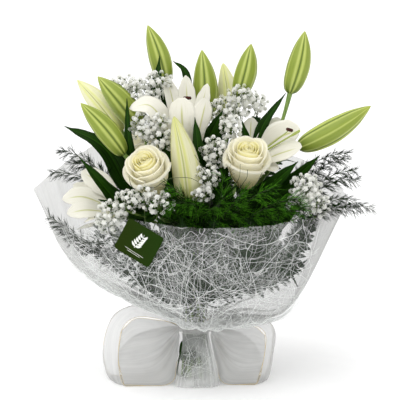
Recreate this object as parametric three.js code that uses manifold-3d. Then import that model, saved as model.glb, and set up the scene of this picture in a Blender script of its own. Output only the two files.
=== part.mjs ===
// A hand-tied mixed bouquet: lilies in bloom and in bud, white roses, baby's breath, asparagus fern and
// leatherleaf fern, gathered at a tie and dressed in two sheets of white fibre web. Above the tie the sheets
// open into a collar round the flowers. Below it their tails and two ribbon loops spread over the cut ends
// of the stems, on which the bouquet stands.
//
// Millimetres, +Z up. The origin is on the surface that the bouquet stands on, under the middle stem.
// +X is to the right and -Y is to the front, where the tag and the lowest edge of the collar are.

import * as THREE from "three";
import { mergeVertices } from "three/addons/utils/BufferGeometryUtils.js";
import Module from "manifold-3d";

const wasm = await Module();
wasm.setup();

// ---------------------------------------------------------------- driving dimensions

const SEAT = 0.35; // gap between pieces that touch
const STEM_GAP = 0.5; // gap between stems in the tie

const WAIST_LOW = 62; // the tie and the ribbon band lie between these heights
const WAIST_HIGH = 78;
const FOOT_SPREAD = 1.65; // how much wider the bundle is at its cut ends than in the tie

const THICK_R = 3.5; // lily and rose stems
const THIN_R = 1.3; // stems of the fillers
const PEDICEL_R = 2.3; // the short stalks of the lily flowers
const BRANCH_R = 0.8; // branches of the fillers

const TIE_THICK = 2;
const SHEET_THICK = 1.2; // a gathered sheet with its creases
const BAND_THICK = 1.2;
const HEM_Z = 0.15; // the outer edge of a leaning hem comes down to the surface
const LEAF_THICK = 1.2;
const PLUME_THICK = 4;
const TEPAL_THICK = 1.6;

const TAG_SIDE = 50;
const TAG_THICK = 0.8;
const TAG_CORNER = 4;

const PITCH = Math.sqrt(3) * (THICK_R + THIN_R + STEM_GAP);
const INNER_SLOT = PITCH / Math.sqrt(3);
const NOTCH_SLOT = PITCH * Math.cos(Math.PI / 6) + Math.sqrt(INNER_SLOT ** 2 - (PITCH / 2) ** 2);
const OUTER_SLOT = PITCH + INNER_SLOT;
const RIM_SLOT = OUTER_SLOT - 0.3;

const TIE_R = OUTER_SLOT + THIN_R + SEAT;
const WAIST_SLACK = 0.5; // a gathered sheet's facets run this much inside its radius
const BACK_SHEET_R = TIE_R + TIE_THICK + SEAT + SHEET_THICK / 2 + WAIST_SLACK;
const FRONT_SHEET_R = BACK_SHEET_R + SHEET_THICK + SEAT + WAIST_SLACK;
const BAND_R = FRONT_SHEET_R + SHEET_THICK / 2 + SEAT + 0.2;

const COLOURS = {
  stem: [0x6f8f3a, 0.55],
  leaf: [0x1f4a16, 0.45],
  greenBud: [0xb4c95a, 0.45],
  creamBud: [0xe9e6b0, 0.45],
  lily: [0xf6f4ea, 0.5],
  stamen: [0x8a9a3a, 0.6],
  rose: [0xf6efcf, 0.6],
  breath: [0xf2f2ee, 0.8],
  fern: [0x2f6a1e, 0.7],
  twine: [0xb59a62, 0.8],
  fibre: [0xe8e8e8, 0.85],
  ribbon: [0xe9e9e6, 0.75],
  card: [0x24360a, 0.5],
};

// ---------------------------------------------------------------- solids

const vec = (p) => (p.isVector3 ? p.clone() : new THREE.Vector3(...p));
const radians = THREE.MathUtils.degToRad;
const mix = THREE.MathUtils.lerp;
const LATHE_AXIS = new THREE.Vector3(0, 1, 0);

// A closed three.js geometry as a manifold solid that faces outwards.
function solidOf(geometry) {
  const bare = geometry.index ? geometry.toNonIndexed() : geometry.clone();
  bare.deleteAttribute("normal");
  bare.deleteAttribute("uv");
  const merged = mergeVertices(bare, 1e-3);
  const faces = new Uint32Array(merged.index.array);
  const build = () =>
    new wasm.Manifold(
      new wasm.Mesh({ numProp: 3, vertProperties: merged.attributes.position.array, triVerts: faces }),
    );
  const made = build();
  if (made.volume() >= 0) return made;
  for (let i = 0; i < faces.length; i += 3) [faces[i + 1], faces[i + 2]] = [faces[i + 2], faces[i + 1]];
  return build();
}

function geometryOf(solid) {
  const mesh = solid.getMesh();
  const position = new Float32Array(mesh.numVert * 3);
  for (let i = 0; i < mesh.numVert; i++) {
    position.set(mesh.vertProperties.subarray(i * mesh.numProp, i * mesh.numProp + 3), i * 3);
  }
  const geometry = new THREE.BufferGeometry();
  geometry.setAttribute("position", new THREE.BufferAttribute(position, 3));
  geometry.setIndex(new THREE.BufferAttribute(mesh.triVerts, 1));
  geometry.computeVertexNormals();
  return geometry;
}

const union = (solids) => solids.reduce((a, b) => a.add(b));

// The largest body of a solid that a cut may have left in several.
function largest(solid) {
  return solid.decompose().reduce((a, b) => (b.volume() > a.volume() ? b : a));
}

// ---------------------------------------------------------------- primitive makers
// Each maker returns a function of `grow`: the solid with its faces moved out by that much, which is what a
// neighbour is cut by, so that a gap is left between the two.

function tube(path, radius, sides, steps) {
  return (grow = 0) => {
    const section = new THREE.Shape().absarc(0, 0, radius + grow, 0, 2 * Math.PI);
    const options = { extrudePath: path, steps, curveSegments: sides / 2 };
    return solidOf(new THREE.ExtrudeGeometry(section, options));
  };
}

// A profile of [radius, height] turned about an axis that runs from `base` along `axis`.
function turned(profile, base, axis, sides) {
  return (grow = 0) => {
    const top = Math.max(...profile.map((p) => p[1]));
    const points = profile.map(([r, h]) => {
      return new THREE.Vector2(r > 0 ? r + grow : 0, h * (1 + (2 * grow) / top) - grow);
    });
    const geometry = new THREE.LatheGeometry(points, sides);
    geometry.applyQuaternion(new THREE.Quaternion().setFromUnitVectors(LATHE_AXIS, vec(axis)));
    geometry.translate(...base);
    return solidOf(geometry);
  };
}

// A box's front and back split their squares along opposite diagonals. Bent, the two walls would then cross
// where a square is twisted, so the back's squares (its last group) are split the front's way.
function matchDiagonals(box) {
  const { start, count } = box.groups[5];
  for (let i = start; i < start + count; i += 6) {
    const [a, b, c, d] = [0, 1, 4, 5].map((k) => box.index.getX(i + k));
    [a, b, c, a, c, d].forEach((corner, k) => box.index.setX(i + k, corner));
  }
}

// A box bent along surface(u, v), u and v from 0 to 1: a sheet of even thickness with closed edges. `size`
// is its rough width and length, by which it grows at its edges.
function bentSheet(surface, across, along, thickness, size = [40, 100]) {
  return (grow = 0) => {
    const geometry = new THREE.BoxGeometry(1, 1, 1, across, along, 1);
    matchDiagonals(geometry);
    const position = geometry.attributes.position;
    const step = 1e-3;
    const share = (at, length) => 0.5 + at + (Math.abs(at) > 0.499 ? (Math.sign(at) * grow) / length : 0);
    for (let i = 0; i < position.count; i++) {
      const u = share(position.getX(i), size[0]);
      const v = share(position.getY(i), size[1]);
      const alongU = surface(u + step, v).sub(surface(u - step, v));
      const alongV = surface(u, v + step).sub(surface(u, v - step));
      const normal = alongU.cross(alongV).normalize();
      const point = surface(u, v).addScaledVector(normal, position.getZ(i) * (thickness + 2 * grow));
      position.setXYZ(i, ...point);
    }
    return solidOf(geometry);
  };
}

function ellipsoid(centre, radii, sides, rows) {
  return (grow = 0) => {
    const geometry = new THREE.SphereGeometry(1, sides, rows);
    geometry.scale(...radii.map((r) => r + grow));
    geometry.translate(...centre);
    return solidOf(geometry);
  };
}

// The point at t, from 0 to 1, of a chain of straight stretches that each take an equal share of t.
function chainPoint(points, t) {
  const at = t * (points.length - 1);
  const k = THREE.MathUtils.clamp(Math.floor(at + 1e-9), 0, points.length - 2);
  return points[k].clone().lerp(points[k + 1], at - k);
}

const joined = (makers) => (grow = 0) => union(makers.map((make) => make(grow)));

// ---------------------------------------------------------------- the bouquet's pieces

const bouquet = new THREE.Group();
const placed = []; // what is already there, for later pieces to be cut by

// Adds a node. `cut` fits it round every earlier piece, with a seat's gap.
function place(name, make, colour, { cut = false } = {}) {
  let solid = make(0);
  if (cut) {
    const box = solid.boundingBox();
    for (const other of placed) {
      const apart = [0, 1, 2].some(
        (k) => other.box.min[k] > box.max[k] + 1 || other.box.max[k] < box.min[k] - 1,
      );
      if (!apart) solid = solid.subtract(other.grown());
    }
    solid = largest(solid);
  }
  let grown;
  placed.push({ box: solid.boundingBox(), grown: () => (grown ??= make(SEAT)) });
  const [hex, roughness] = COLOURS[colour];
  const mesh = new THREE.Mesh(
    geometryOf(solid),
    new THREE.MeshStandardMaterial({ color: hex, roughness, metalness: 0 }),
  );
  mesh.name = name;
  bouquet.add(mesh);
}

// ---- stems

// Places in the tie. Seven thick stems stand in a hexagon, and the thin ones fill the gaps between and
// round them.
const RINGS = {
  middle: 0,
  thick: PITCH,
  inner: INNER_SLOT,
  notch: NOTCH_SLOT,
  rim: RIM_SLOT,
  outer: OUTER_SLOT,
};

function slot(ring, degrees) {
  const radius = RINGS[ring];
  return [radius * Math.cos(radians(degrees)), radius * Math.sin(radians(degrees))];
}

// From the cut end, upright on the surface, straight up through the tie, and out to `end`, where the stem
// points along `lean`.
class StemPath extends THREE.Curve {
  constructor([x, y], end, lean, { rise = 70, reach = 60 } = {}) {
    super();
    const last = vec(end);
    const low = new THREE.Vector3(x, y, WAIST_LOW);
    const high = new THREE.Vector3(x, y, WAIST_HIGH);
    const cutEnd = new THREE.Vector3(x * FOOT_SPREAD, y * FOOT_SPREAD, 0);
    const third = new THREE.Vector3(0, 0, WAIST_LOW / 3);
    this.pieces = [
      new THREE.CubicBezierCurve3(cutEnd, cutEnd.clone().add(third), low.clone().sub(third), low),
      new THREE.LineCurve3(low, high),
      new THREE.CubicBezierCurve3(
        high,
        high.clone().add(new THREE.Vector3(0, 0, rise)),
        last.clone().addScaledVector(vec(lean).normalize(), -reach),
        last,
      ),
    ];
    this.counts = [2, 1, 6];
    this.steps = 9;
  }
  getPoint(t, target = new THREE.Vector3()) {
    let left = t * this.steps;
    let k = 0;
    while (k < 2 && left > this.counts[k]) left -= this.counts[k++];
    return target.copy(this.pieces[k].getPoint(Math.min(left / this.counts[k], 1)));
  }
  // The sections stand where the pieces' own steps are, so that one lies at each end of the tie.
  getUtoTmapping(u) {
    return u;
  }
  // The point of the upper piece at height z.
  atHeight(z) {
    let [low, high] = [0, 1];
    for (let i = 0; i < 30; i++) {
      const middle = (low + high) / 2;
      if (this.pieces[2].getPoint(middle).z < z) low = middle;
      else high = middle;
    }
    return { point: this.pieces[2].getPoint(low), along: this.pieces[2].getTangent(low) };
  }
}

// A stalk that leaves `from` along `along` and ends at `to` along `lean`.
function stalk(from, along, to, lean, reach = 0.4) {
  const [a, b] = [vec(from), vec(to)];
  const span = a.distanceTo(b) * reach;
  return new THREE.CubicBezierCurve3(
    a,
    a.clone().addScaledVector(vec(along).normalize(), span),
    b.clone().addScaledVector(vec(lean).normalize(), -span),
    b,
  );
}

// A flower's base and the unit vector from it to its tip.
function flower(base, tip) {
  const axis = vec(tip).sub(vec(base));
  return { base: vec(base), length: axis.length(), axis: axis.normalize() };
}

// ---- lily buds

const BUD_PROFILE = [
  [0, 0], [0.3, 0], [0.62, 0.08], [0.9, 0.24], [1, 0.42], [0.86, 0.65], [0.52, 0.86], [0.2, 0.975], [0, 1],
];

const BUDS = {
  lily_bud_top_left: { base: [-38, 48, 380], tip: [-62, 60, 458], radius: 14.5, colour: "greenBud" },
  lily_bud_middle_green: { base: [12, 44, 332], tip: [9, 56, 426], radius: 17, colour: "greenBud" },
  lily_bud_middle_cream: { base: [46, 66, 330], tip: [37, 72, 407], radius: 13, colour: "creamBud" },
  lily_bud_upper_right: { base: [57, 30, 368], tip: [73, 36, 436], radius: 14.5, colour: "greenBud" },
  lily_bud_tall_right: { base: [122, 0, 376], tip: [141, 10, 455], radius: 15, colour: "greenBud" },
  lily_bud_far_right: { base: [132, -30, 310], tip: [223, -32, 364], radius: 16, colour: "greenBud" },
  lily_bud_small_right: { base: [93, 17, 316], tip: [97, 24, 344], radius: 6, colour: "creamBud" },
  lily_bud_left_back: { base: [-96, 26, 322], tip: [-154, 42, 388], radius: 15, colour: "creamBud" },
  lily_bud_left_top: { base: [-70, 2, 330], tip: [-125, 6, 397], radius: 16.5, colour: "greenBud" },
  lily_bud_left_front: { base: [-90, -36, 303], tip: [-144, -42, 369], radius: 14.5, colour: "greenBud" },
  lily_bud_front_cream: { base: [-6, -74, 246], tip: [-26, -62, 355], radius: 20, colour: "creamBud" },
};
for (const bud of Object.values(BUDS)) Object.assign(bud, flower(bud.base, bud.tip));

function budMaker({ base, axis, length, radius }) {
  const profile = BUD_PROFILE.map(([r, h]) => [r * radius, h * length]);
  return turned(profile, base, axis, 8);
}

// ---- open lilies
// A bloom is a trumpet of six tepals grown together at the base: a thin turned shell whose mouth is drawn
// down between the tepals and out at their tips.

const BLOOMS = {
  lily_bloom_middle: { base: [-9, -22, 280], tip: [-7, -6, 396], mouth: 40, turn: 20 },
  lily_bloom_right: { base: [74, -6, 292], tip: [128, -58, 334], mouth: 44, turn: 0 },
  lily_bloom_left: { base: [-92, -52, 232], tip: [-166, -72, 258], mouth: 34, turn: 10 },
};
for (const bloom of Object.values(BLOOMS)) Object.assign(bloom, flower(bloom.base, bloom.tip));

const TEPALS = 6;
const TRUMPET = [[0.2, 0.06], [0.3, 0.36], [0.58, 0.7], [1, 0.98]];

function bloomMaker({ base, axis, length, mouth, turn }) {
  return (grow = 0) => {
    const wall = TEPAL_THICK / 2 + grow;
    const outer = TRUMPET.map(([r, h]) => new THREE.Vector2(r * mouth + wall, h * length));
    const inner = TRUMPET.map(([r, h]) => new THREE.Vector2(r * mouth - wall, h * length));
    inner[0].x = 0;
    inner[0].y += 2 * TEPAL_THICK;
    const profile = [new THREE.Vector2(0, -grow), new THREE.Vector2(5 + grow, -grow), ...outer];
    const geometry = new THREE.LatheGeometry([...profile, ...inner.reverse()], 4 * TEPALS);
    const position = geometry.attributes.position;
    for (let i = 0; i < position.count; i++) {
      const [x, y, z] = [position.getX(i), position.getY(i), position.getZ(i)];
      const open = THREE.MathUtils.smoothstep(y, 0.25 * length, length);
      const tepal = Math.cos(TEPALS * Math.atan2(z, x)) * open;
      const scale = 1 + 0.08 * tepal;
      position.setXYZ(i, x * scale, y - 0.12 * length * (open - tepal), z * scale);
    }
    geometry.rotateY(radians(turn));
    geometry.applyQuaternion(new THREE.Quaternion().setFromUnitVectors(LATHE_AXIS, axis));
    geometry.translate(...base);
    return solidOf(geometry);
  };
}

// The pistil, and six stamens round it with their anthers, on a short column above the trumpet's foot.

const COLUMN_R = 3.4;
const PISTIL_R = 1.1;
const ANTHER_R = 2;

function stamenMaker({ base, axis, length, mouth, turn }) {
  const foot = base.clone().addScaledVector(axis, 0.06 * length + 4 * TEPAL_THICK);
  const toAxis = new THREE.Quaternion().setFromUnitVectors(new THREE.Vector3(0, 0, 1), axis);
  const local = (r, angle, h) => {
    return new THREE.Vector3(r * Math.cos(angle), r * Math.sin(angle), h).applyQuaternion(toAxis).add(foot);
  };
  const column = turned([[0, 0], [COLUMN_R, 0], [COLUMN_R, 6], [0, 7]], foot, axis, 6);
  const style = new THREE.LineCurve3(local(0, 0, 3), local(0, 0, 0.78 * length));
  const pistil = tube(style, PISTIL_R, 4, 1);
  const stamen = (k) => {
    const angle = radians(turn + (360 / TEPALS) * k);
    const tip = local(0.3 * mouth, angle, 0.69 * length);
    const filament = new THREE.LineCurve3(local(0.65 * COLUMN_R, angle, 3), tip);
    const anther = ellipsoid(tip, [ANTHER_R, ANTHER_R, ANTHER_R], 4, 3);
    return joined([tube(filament, BRANCH_R, 4, 1), anther]);
  };
  return joined([column, pistil, ...Array.from({ length: TEPALS }, (_, k) => stamen(k))]);
}

// ---- roses

const ROSE_PROFILE = [
  [0, 0], [0.26, 0], [0.56, 0.12], [0.84, 0.32], [0.98, 0.58], [1, 0.76], [0.86, 0.92], [0.5, 0.99], [0, 1],
];
const ROSE_R = 29;
const ROSE_H = 64;
const CUP_R = 6.5; // the green cup that the stem ends in, under the head
const CUP_H = 6;

const ROSES = {
  rose_bloom_left: { base: [-49, -77, 258], tip: [-66, -98, 316] },
  rose_bloom_right: { base: [64, -67, 266], tip: [67, -82, 330] },
  rose_bloom_back_left: { base: [-52, 74, 262], tip: [-72, 100, 310] },
  rose_bloom_back_right: { base: [62, 84, 256], tip: [84, 112, 302] },
};
for (const rose of Object.values(ROSES)) Object.assign(rose, flower(rose.base, rose.tip));

function roseMaker({ base, axis }) {
  const profile = ROSE_PROFILE.map(([r, h]) => [r * ROSE_R, h * ROSE_H]);
  return turned(profile, base, axis, 10);
}

// ---- the lily and rose stems

// A stem ends a seat's gap short of its flower.
const seatOf = ({ base, axis }) => base.clone().addScaledVector(axis, -SEAT);

function lilyStem(at, crown, lean, stalks) {
  const path = new StemPath(at, crown, lean, { rise: 90, reach: 40 });
  const makers = [tube(path, THICK_R, 6, path.steps)];
  for (const [head, height] of stalks) {
    const { point, along } = path.atHeight(height);
    makers.push(tube(stalk(point, along, seatOf(head), head.axis), PEDICEL_R, 6, 4));
  }
  return { path, make: joined(makers) };
}

function roseStem(at, head) {
  const path = new StemPath(at, seatOf(head), head.axis, { rise: 80, reach: 50 });
  const top = CUP_H - SEAT;
  const profile = [[0, 0], [THICK_R, 0], [CUP_R, 0.8 * top], [CUP_R, top], [0, top]];
  const cup = turned(profile, head.base.clone().addScaledVector(head.axis, -CUP_H), head.axis, 8);
  return { path, make: joined([tube(path, THICK_R, 6, path.steps), cup]) };
}

const STEMS = {
  lily_stem_middle: lilyStem(slot("middle", 0), [-2, 10, 262], [0, 0.1, 1], [
    [BLOOMS.lily_bloom_middle, 225],
    [BUDS.lily_bud_front_cream, 175],
    [BUDS.lily_bud_top_left, 250],
    [BUDS.lily_bud_middle_green, 255],
    [BUDS.lily_bud_middle_cream, 240],
    [BUDS.lily_bud_upper_right, 258],
  ]),
  lily_stem_left: lilyStem(slot("thick", 180), [-66, -6, 268], [-0.3, 0, 1], [
    [BUDS.lily_bud_left_back, 240],
    [BUDS.lily_bud_left_top, 262],
    [BUDS.lily_bud_left_front, 232],
    [BLOOMS.lily_bloom_left, 165],
  ]),
  lily_stem_right: lilyStem(slot("thick", 0), [84, 2, 264], [0.35, 0, 1], [
    [BUDS.lily_bud_tall_right, 262],
    [BUDS.lily_bud_far_right, 225],
    [BUDS.lily_bud_small_right, 255],
    [BLOOMS.lily_bloom_right, 205],
  ]),
  rose_stem_left: roseStem(slot("thick", 240), ROSES.rose_bloom_left),
  rose_stem_right: roseStem(slot("thick", 300), ROSES.rose_bloom_right),
  rose_stem_back_left: roseStem(slot("thick", 120), ROSES.rose_bloom_back_left),
  rose_stem_back_right: roseStem(slot("thick", 60), ROSES.rose_bloom_back_right),
};

// ---- sheets of fibre web
// Round the bouquet, at each azimuth (0 right, 90 back, 180 left, 270 front), the collar's profile passes
// three points of [distance from the middle, height]: the first bend out of the waist, the knee and the rim.

const TAIL_ROWS = 3;
const SHEET_ROWS = 7;
const COLLAR = [
  [0, [60, 88], [124, 103], [199, 240]],
  [40, [64, 94], [124, 134], [180, 274]],
  [90, [62, 104], [112, 148], [150, 300]],
  [135, [66, 112], [122, 158], [160, 302]],
  [158, [72, 112], [142, 160], [165, 288]],
  [182, [78, 112], [164, 160], [208, 252]],
  [205, [74, 111], [154, 160], [194, 226]],
  [240, [62, 96], [118, 132], [152, 244]],
  [270, [58, 84], [112, 112], [137, 234]],
  [300, [58, 84], [126, 112], [160, 237]],
  [320, [60, 86], [138, 115], [177, 241]],
  [345, [60, 86], [129, 105], [197, 241]],
  [360, [60, 88], [124, 103], [199, 240]],
];

function collarAt(degrees) {
  const at = ((degrees % 360) + 360) % 360;
  const next = COLLAR.findIndex((row) => row[0] > at);
  const [a, b] = [COLLAR[next - 1], COLLAR[next]];
  const share = (at - a[0]) / (b[0] - a[0]);
  return [1, 2, 3].map((k) => [mix(a[k][0], b[k][0], share), mix(a[k][1], b[k][1], share)]);
}

// A sheet from its hem on the surface, through the waist, to the rim. `tail` gives the profile below the
// waist, the spans are the azimuths that the tail and the collar cover, and `off` holds it outside its
// neighbour. The azimuths change over between the tail's last row and the waist's upper one.
function sheetSurface({ waist, tail, tailSpan, collarSpan, off }) {
  return (u, v) => {
    const gathered = THREE.MathUtils.clamp((v * SHEET_ROWS - (TAIL_ROWS - 1)) / 2, 0, 1);
    const degrees = mix(mix(...tailSpan, u), mix(...collarSpan, u), gathered);
    const profile = [
      ...tail(degrees),
      [waist, WAIST_LOW - 2],
      [waist, WAIST_HIGH + 2 - off / 2],
      ...collarAt(degrees).map(([r, z], k) => [r + (k ? off : off / 2), z - (k ? off : off / 2)]),
    ].map((p) => new THREE.Vector2(...p));
    const { x: r, y: z } = chainPoint(profile, v);
    return new THREE.Vector3(r * Math.cos(radians(degrees)), r * Math.sin(radians(degrees)), z);
  };
}

function backTail(degrees) {
  const side = Math.cos(radians(degrees));
  const reach = 62 + (side > 0 ? 26 : 42) * side * side;
  return [[reach, HEM_Z], [reach * 0.97, 30], [reach * 0.7, 54]];
}

const frontTail = () => [[60, HEM_Z], [55, 24], [40, 48]];

const BACK_SHEET = sheetSurface({
  waist: BACK_SHEET_R,
  tail: backTail,
  tailSpan: [4, 176],
  collarSpan: [-30, 210],
  off: 0,
});
const FRONT_SPAN = [190, 350];
const FRONT_SHEET = sheetSurface({
  waist: FRONT_SHEET_R,
  tail: frontTail,
  tailSpan: [250, 300],
  collarSpan: FRONT_SPAN,
  off: 5,
});

// ---- the tie and the ribbon

function ring(inner, thickness, low, high) {
  const outer = inner + thickness;
  const section = [[inner, low], [outer, low], [outer, high], [inner, high], [inner, low]];
  return turned(section, [0, 0, 0], [0, 0, 1], 24);
}

// A loop of wide ribbon, between its front edge and its back edge, flat where it lies on the surface.
function ribbonLoop(front, back) {
  const [a, b] = [front, back].map((points) => points.map(vec));
  const surface = (u, v) => chainPoint(a, v).lerp(chainPoint(b, v), u);
  return bentSheet(surface, 1, front.length - 1, SHEET_THICK, [50, 260]);
}

const LAID = SHEET_THICK / 2;
const LOOPS = {
  ribbon_loop_left: [
    [
      [-19, -17, 71], [-48, -36, 86], [-76, -46, 91], [-94, -51, 76], [-99, -52, 40], [-96, -52, 10],
      [-90, -52, LAID], [-85, -52, LAID], [-66, -50, LAID], [-60, -48, LAID], [-40, -36, 22], [-26, -20, 54],
    ],
    [
      [-25, -5, 71], [-55, -4, 90], [-85, -4, 95], [-110, -4, 78], [-121, -4, 42], [-118, -4, 12],
      [-110, -4, LAID], [-103, -4, LAID], [-76, -4, LAID], [-68, -4, LAID], [-50, -5, 22], [-32, -6, 54],
    ],
  ],
  ribbon_loop_right: [
    [
      [19, -17, 70], [48, -34, 75], [76, -42, 79], [91, -45, 68], [90, -46, 42], [84, -46, 10],
      [78, -46, LAID], [74, -46, LAID], [58, -45, LAID], [53, -44, LAID], [40, -34, 22], [26, -20, 54],
    ],
    [
      [25, -5, 70], [54, -4, 75], [84, -4, 80], [101, -4, 68], [102, -4, 42], [97, -4, 12],
      [90, -4, LAID], [84, -4, LAID], [66, -4, LAID], [60, -4, LAID], [46, -5, 22], [32, -6, 54],
    ],
  ],
};

// Inside each loop the front wall of a second loop fans out from the same knot, between its upper edge, its
// middle and its lower edge.
function ribbonFan(upper, middle, lower) {
  const rows = [upper, middle, lower].map((points) => points.map(vec));
  const surface = (u, v) => chainPoint(rows.map((row) => chainPoint(row, v)), u);
  return bentSheet(surface, 2, 3, SHEET_THICK, [70, 80]);
}

const FANS = {
  ribbon_loop_left: [
    [[-21.5, -15, 73.5], [-48, -40, 80], [-74, -46, 85], [-90, -47, 73]],
    [[-21.5, -15, 66], [-48, -50, 54], [-72, -56, 47], [-94, -50, 41]],
    [[-21.5, -15, 58.5], [-46, -42, 27], [-66, -49, 5.5], [-87, -48, 6]],
  ],
  ribbon_loop_right: [
    [[21.5, -15, 72.5], [48, -38, 69.5], [74, -43, 73.5], [87, -43, 65]],
    [[21.5, -15, 65], [48, -46, 48], [68, -50, 42], [86, -46, 41]],
    [[21.5, -15, 58], [44, -40, 27], [60, -44, 5.5], [76, -43, 6]],
  ],
};

// ---- the tag

const TAG = { azimuth: 243, share: 0.965, turn: -33, clear: 3.2 };

// A square card with round corners, laid on the front sheet at an azimuth and a share of the sheet's
// length, turned in its own plane, and held off by `clear` where it spans the sheet's facets.
function tagMaker(degrees, share, turn, clear) {
  const u = (degrees - FRONT_SPAN[0]) / (FRONT_SPAN[1] - FRONT_SPAN[0]);
  const step = 0.02;
  const across = FRONT_SHEET(u + step, share).sub(FRONT_SHEET(u - step, share)).normalize();
  const along = FRONT_SHEET(u, share + step).sub(FRONT_SHEET(u, share - step)).normalize();
  const out = along.clone().cross(across).normalize();
  if (out.y > 0) out.negate();
  const frame = new THREE.Matrix4().makeBasis(along.clone().cross(out).normalize(), along, out);
  const centre = FRONT_SHEET(u, share).addScaledVector(out, SHEET_THICK / 2 + TAG_THICK / 2 + clear);
  return (grow = 0) => {
    const corner = TAG_SIDE / 2 - TAG_CORNER;
    const outline = new THREE.Shape();
    [[1, 1], [-1, 1], [-1, -1], [1, -1]].forEach(([x, y], k) => {
      const start = (k * Math.PI) / 2;
      outline.absarc(x * corner, y * corner, TAG_CORNER + grow, start, start + Math.PI / 2);
    });
    const depth = TAG_THICK + 2 * grow;
    const geometry = new THREE.ExtrudeGeometry(outline, { depth, bevelEnabled: false, curveSegments: 3 });
    geometry.translate(0, 0, -depth / 2);
    geometry.rotateZ(radians(turn));
    geometry.applyMatrix4(frame);
    geometry.translate(...centre);
    return solidOf(geometry);
  };
}

// ---- leaves

// A flat blade along a spine, widest below its middle and folded along it. Its upper side looks roughly
// along `face`.

function blade(points, width, face, thickness, { fold = 0.2, across = 2, along = 6, point = 1 } = {}) {
  const spine = new THREE.CatmullRomCurve3(points.map(vec));
  const length = spine.getLength();
  const up = vec(face).normalize();
  const surface = (u, v) => {
    const t = Math.min(Math.max(v, 0), 1);
    const tangent = spine.getTangent(t);
    const side = tangent.clone().cross(up).normalize();
    const normal = side.clone().cross(tangent).normalize();
    const wide = mix(3, point, t) + (width - 3) * Math.sin(Math.PI * t ** 0.85) ** 0.8;
    const offset = (u - 0.5) * wide;
    return spine
      .getPoint(t)
      .addScaledVector(tangent, (v - t) * length)
      .addScaledVector(side, offset)
      .addScaledVector(normal, Math.abs(offset) * fold);
  };
  return bentSheet(surface, across, along, thickness, [width, length]);
}

// [the stem that bears it, the height where it leaves, a point on the way, the tip, the width]. A leaf
// starts inside its stem and is cut back to the stem's side.
const LEAVES = {
  leaf_left_long: ["lily_stem_left", 215, [-120, -8, 310], [-168, -4, 334], 24],
  leaf_left_low: ["lily_stem_left", 190, [-100, -62, 246], [-142, -104, 310], 24],
  leaf_left_narrow: ["lily_stem_left", 225, [-84, -36, 318], [-86, -34, 374], 14],
  leaf_top_left: ["lily_stem_middle", 232, [-50, 18, 352], [-46, 34, 421], 22],
  leaf_top_middle: ["lily_stem_middle", 245, [-11, 43, 392], [-29, 46, 413], 13],
  leaf_middle_front: ["lily_stem_middle", 215, [4, -50, 306], [0, -48, 352], 22],
  leaf_right_upper: ["lily_stem_right", 235, [86, 2, 330], [117, 4, 376], 18],
  leaf_right_front: ["lily_stem_right", 180, [92, -66, 262], [128, -92, 303], 30],
  leaf_right_low: ["lily_stem_right", 195, [118, -46, 264], [156, -76, 308], 26],
};

function leafMaker([bearer, height, middle, tip, width]) {
  const { point } = STEMS[bearer].path.atHeight(height);
  const between = point.clone().lerp(vec(middle), 0.5);
  return blade([point, between, middle, tip], width, [0.1, -0.9, 0.5], LEAF_THICK);
}

// ---- fillers
// Each filler is one stem with what it carries: clouds of baby's breath, plumes of asparagus fern or a
// frond of leatherleaf, all on branches from just under the top of the stem.

const BRANCH_DROP = 6;

function spray(at, hub, lean, clouds) {
  const path = new StemPath(at, hub, lean);
  const makers = [tube(path, THIN_R, 4, path.steps)];
  const { point, along } = path.atHeight(hub[2] - BRANCH_DROP);
  for (const [centre, radii] of clouds) {
    makers.push(tube(stalk(point, along, centre, [0, 0, 1], 0.3), BRANCH_R, 4, 2));
    makers.push(ellipsoid(centre, radii, 7, 5));
  }
  return joined(makers);
}

function fern(at, hub, lean, plumes) {
  const path = new StemPath(at, hub, lean);
  const makers = [tube(path, THIN_R, 4, path.steps)];
  const { point } = path.atHeight(hub[2] - BRANCH_DROP);
  const form = { fold: 0.1, along: 5, point: 2 };
  for (const { points, width } of plumes) {
    makers.push(blade([point, ...points], width, [0, -0.5, 0.9], PLUME_THICK, form));
  }
  return joined(makers);
}

// Puffs of baby's breath at [centre, radii], on one stem.
const BREATH = {
  breath_upper_left: [slot("inner", 150), [-56, 10, 340], [-0.3, 0, 1], [
    [[-48, 8, 394], [17, 12, 14]], [[-72, 6, 376], [16, 12, 15]], [[-91, 14, 384], [13, 10, 12]],
  ]],
  breath_left: [slot("inner", 210), [-46, -32, 298], [-0.2, -0.2, 1], [
    [[-64, -36, 338], [14, 12, 15]], [[-43, -42, 324], [14, 12, 13]],
  ]],
  breath_right: [slot("inner", 30), [44, 14, 318], [0.2, 0, 1], [
    [[58, 4, 372], [13, 11, 10]], [[38, 4, 354], [13, 11, 12]], [[78, 14, 362], [13, 11, 13]],
  ]],
  breath_middle: [slot("inner", 270), [16, -50, 262], [0.2, -0.3, 1], [
    [[26, -58, 311], [15, 12, 17]], [[17, -84, 282], [14, 12, 14]], [[46, -36, 338], [12, 10, 14]],
  ]],
  breath_right_low: [slot("inner", 330), [84, -50, 214], [0.6, -0.4, 1], [
    [[138, -84, 270], [15, 12, 13]], [[152, -92, 250], [15, 12, 12]],
  ]],
  breath_left_low: [slot("outer", 240), [-56, -94, 196], [-0.4, -0.4, 1], [
    [[-104, -116, 238], [16, 12, 18]], [[-84, -118, 256], [13, 10, 12]], [[-46, -120, 256], [17, 10, 12]],
  ]],
  breath_back: [slot("inner", 90), [-4, 62, 300], [0, 0.2, 1], [
    [[-8, 92, 352], [18, 14, 16]], [[-44, 84, 360], [16, 13, 14]], [[30, 98, 340], [16, 13, 14]],
  ]],
};

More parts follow.
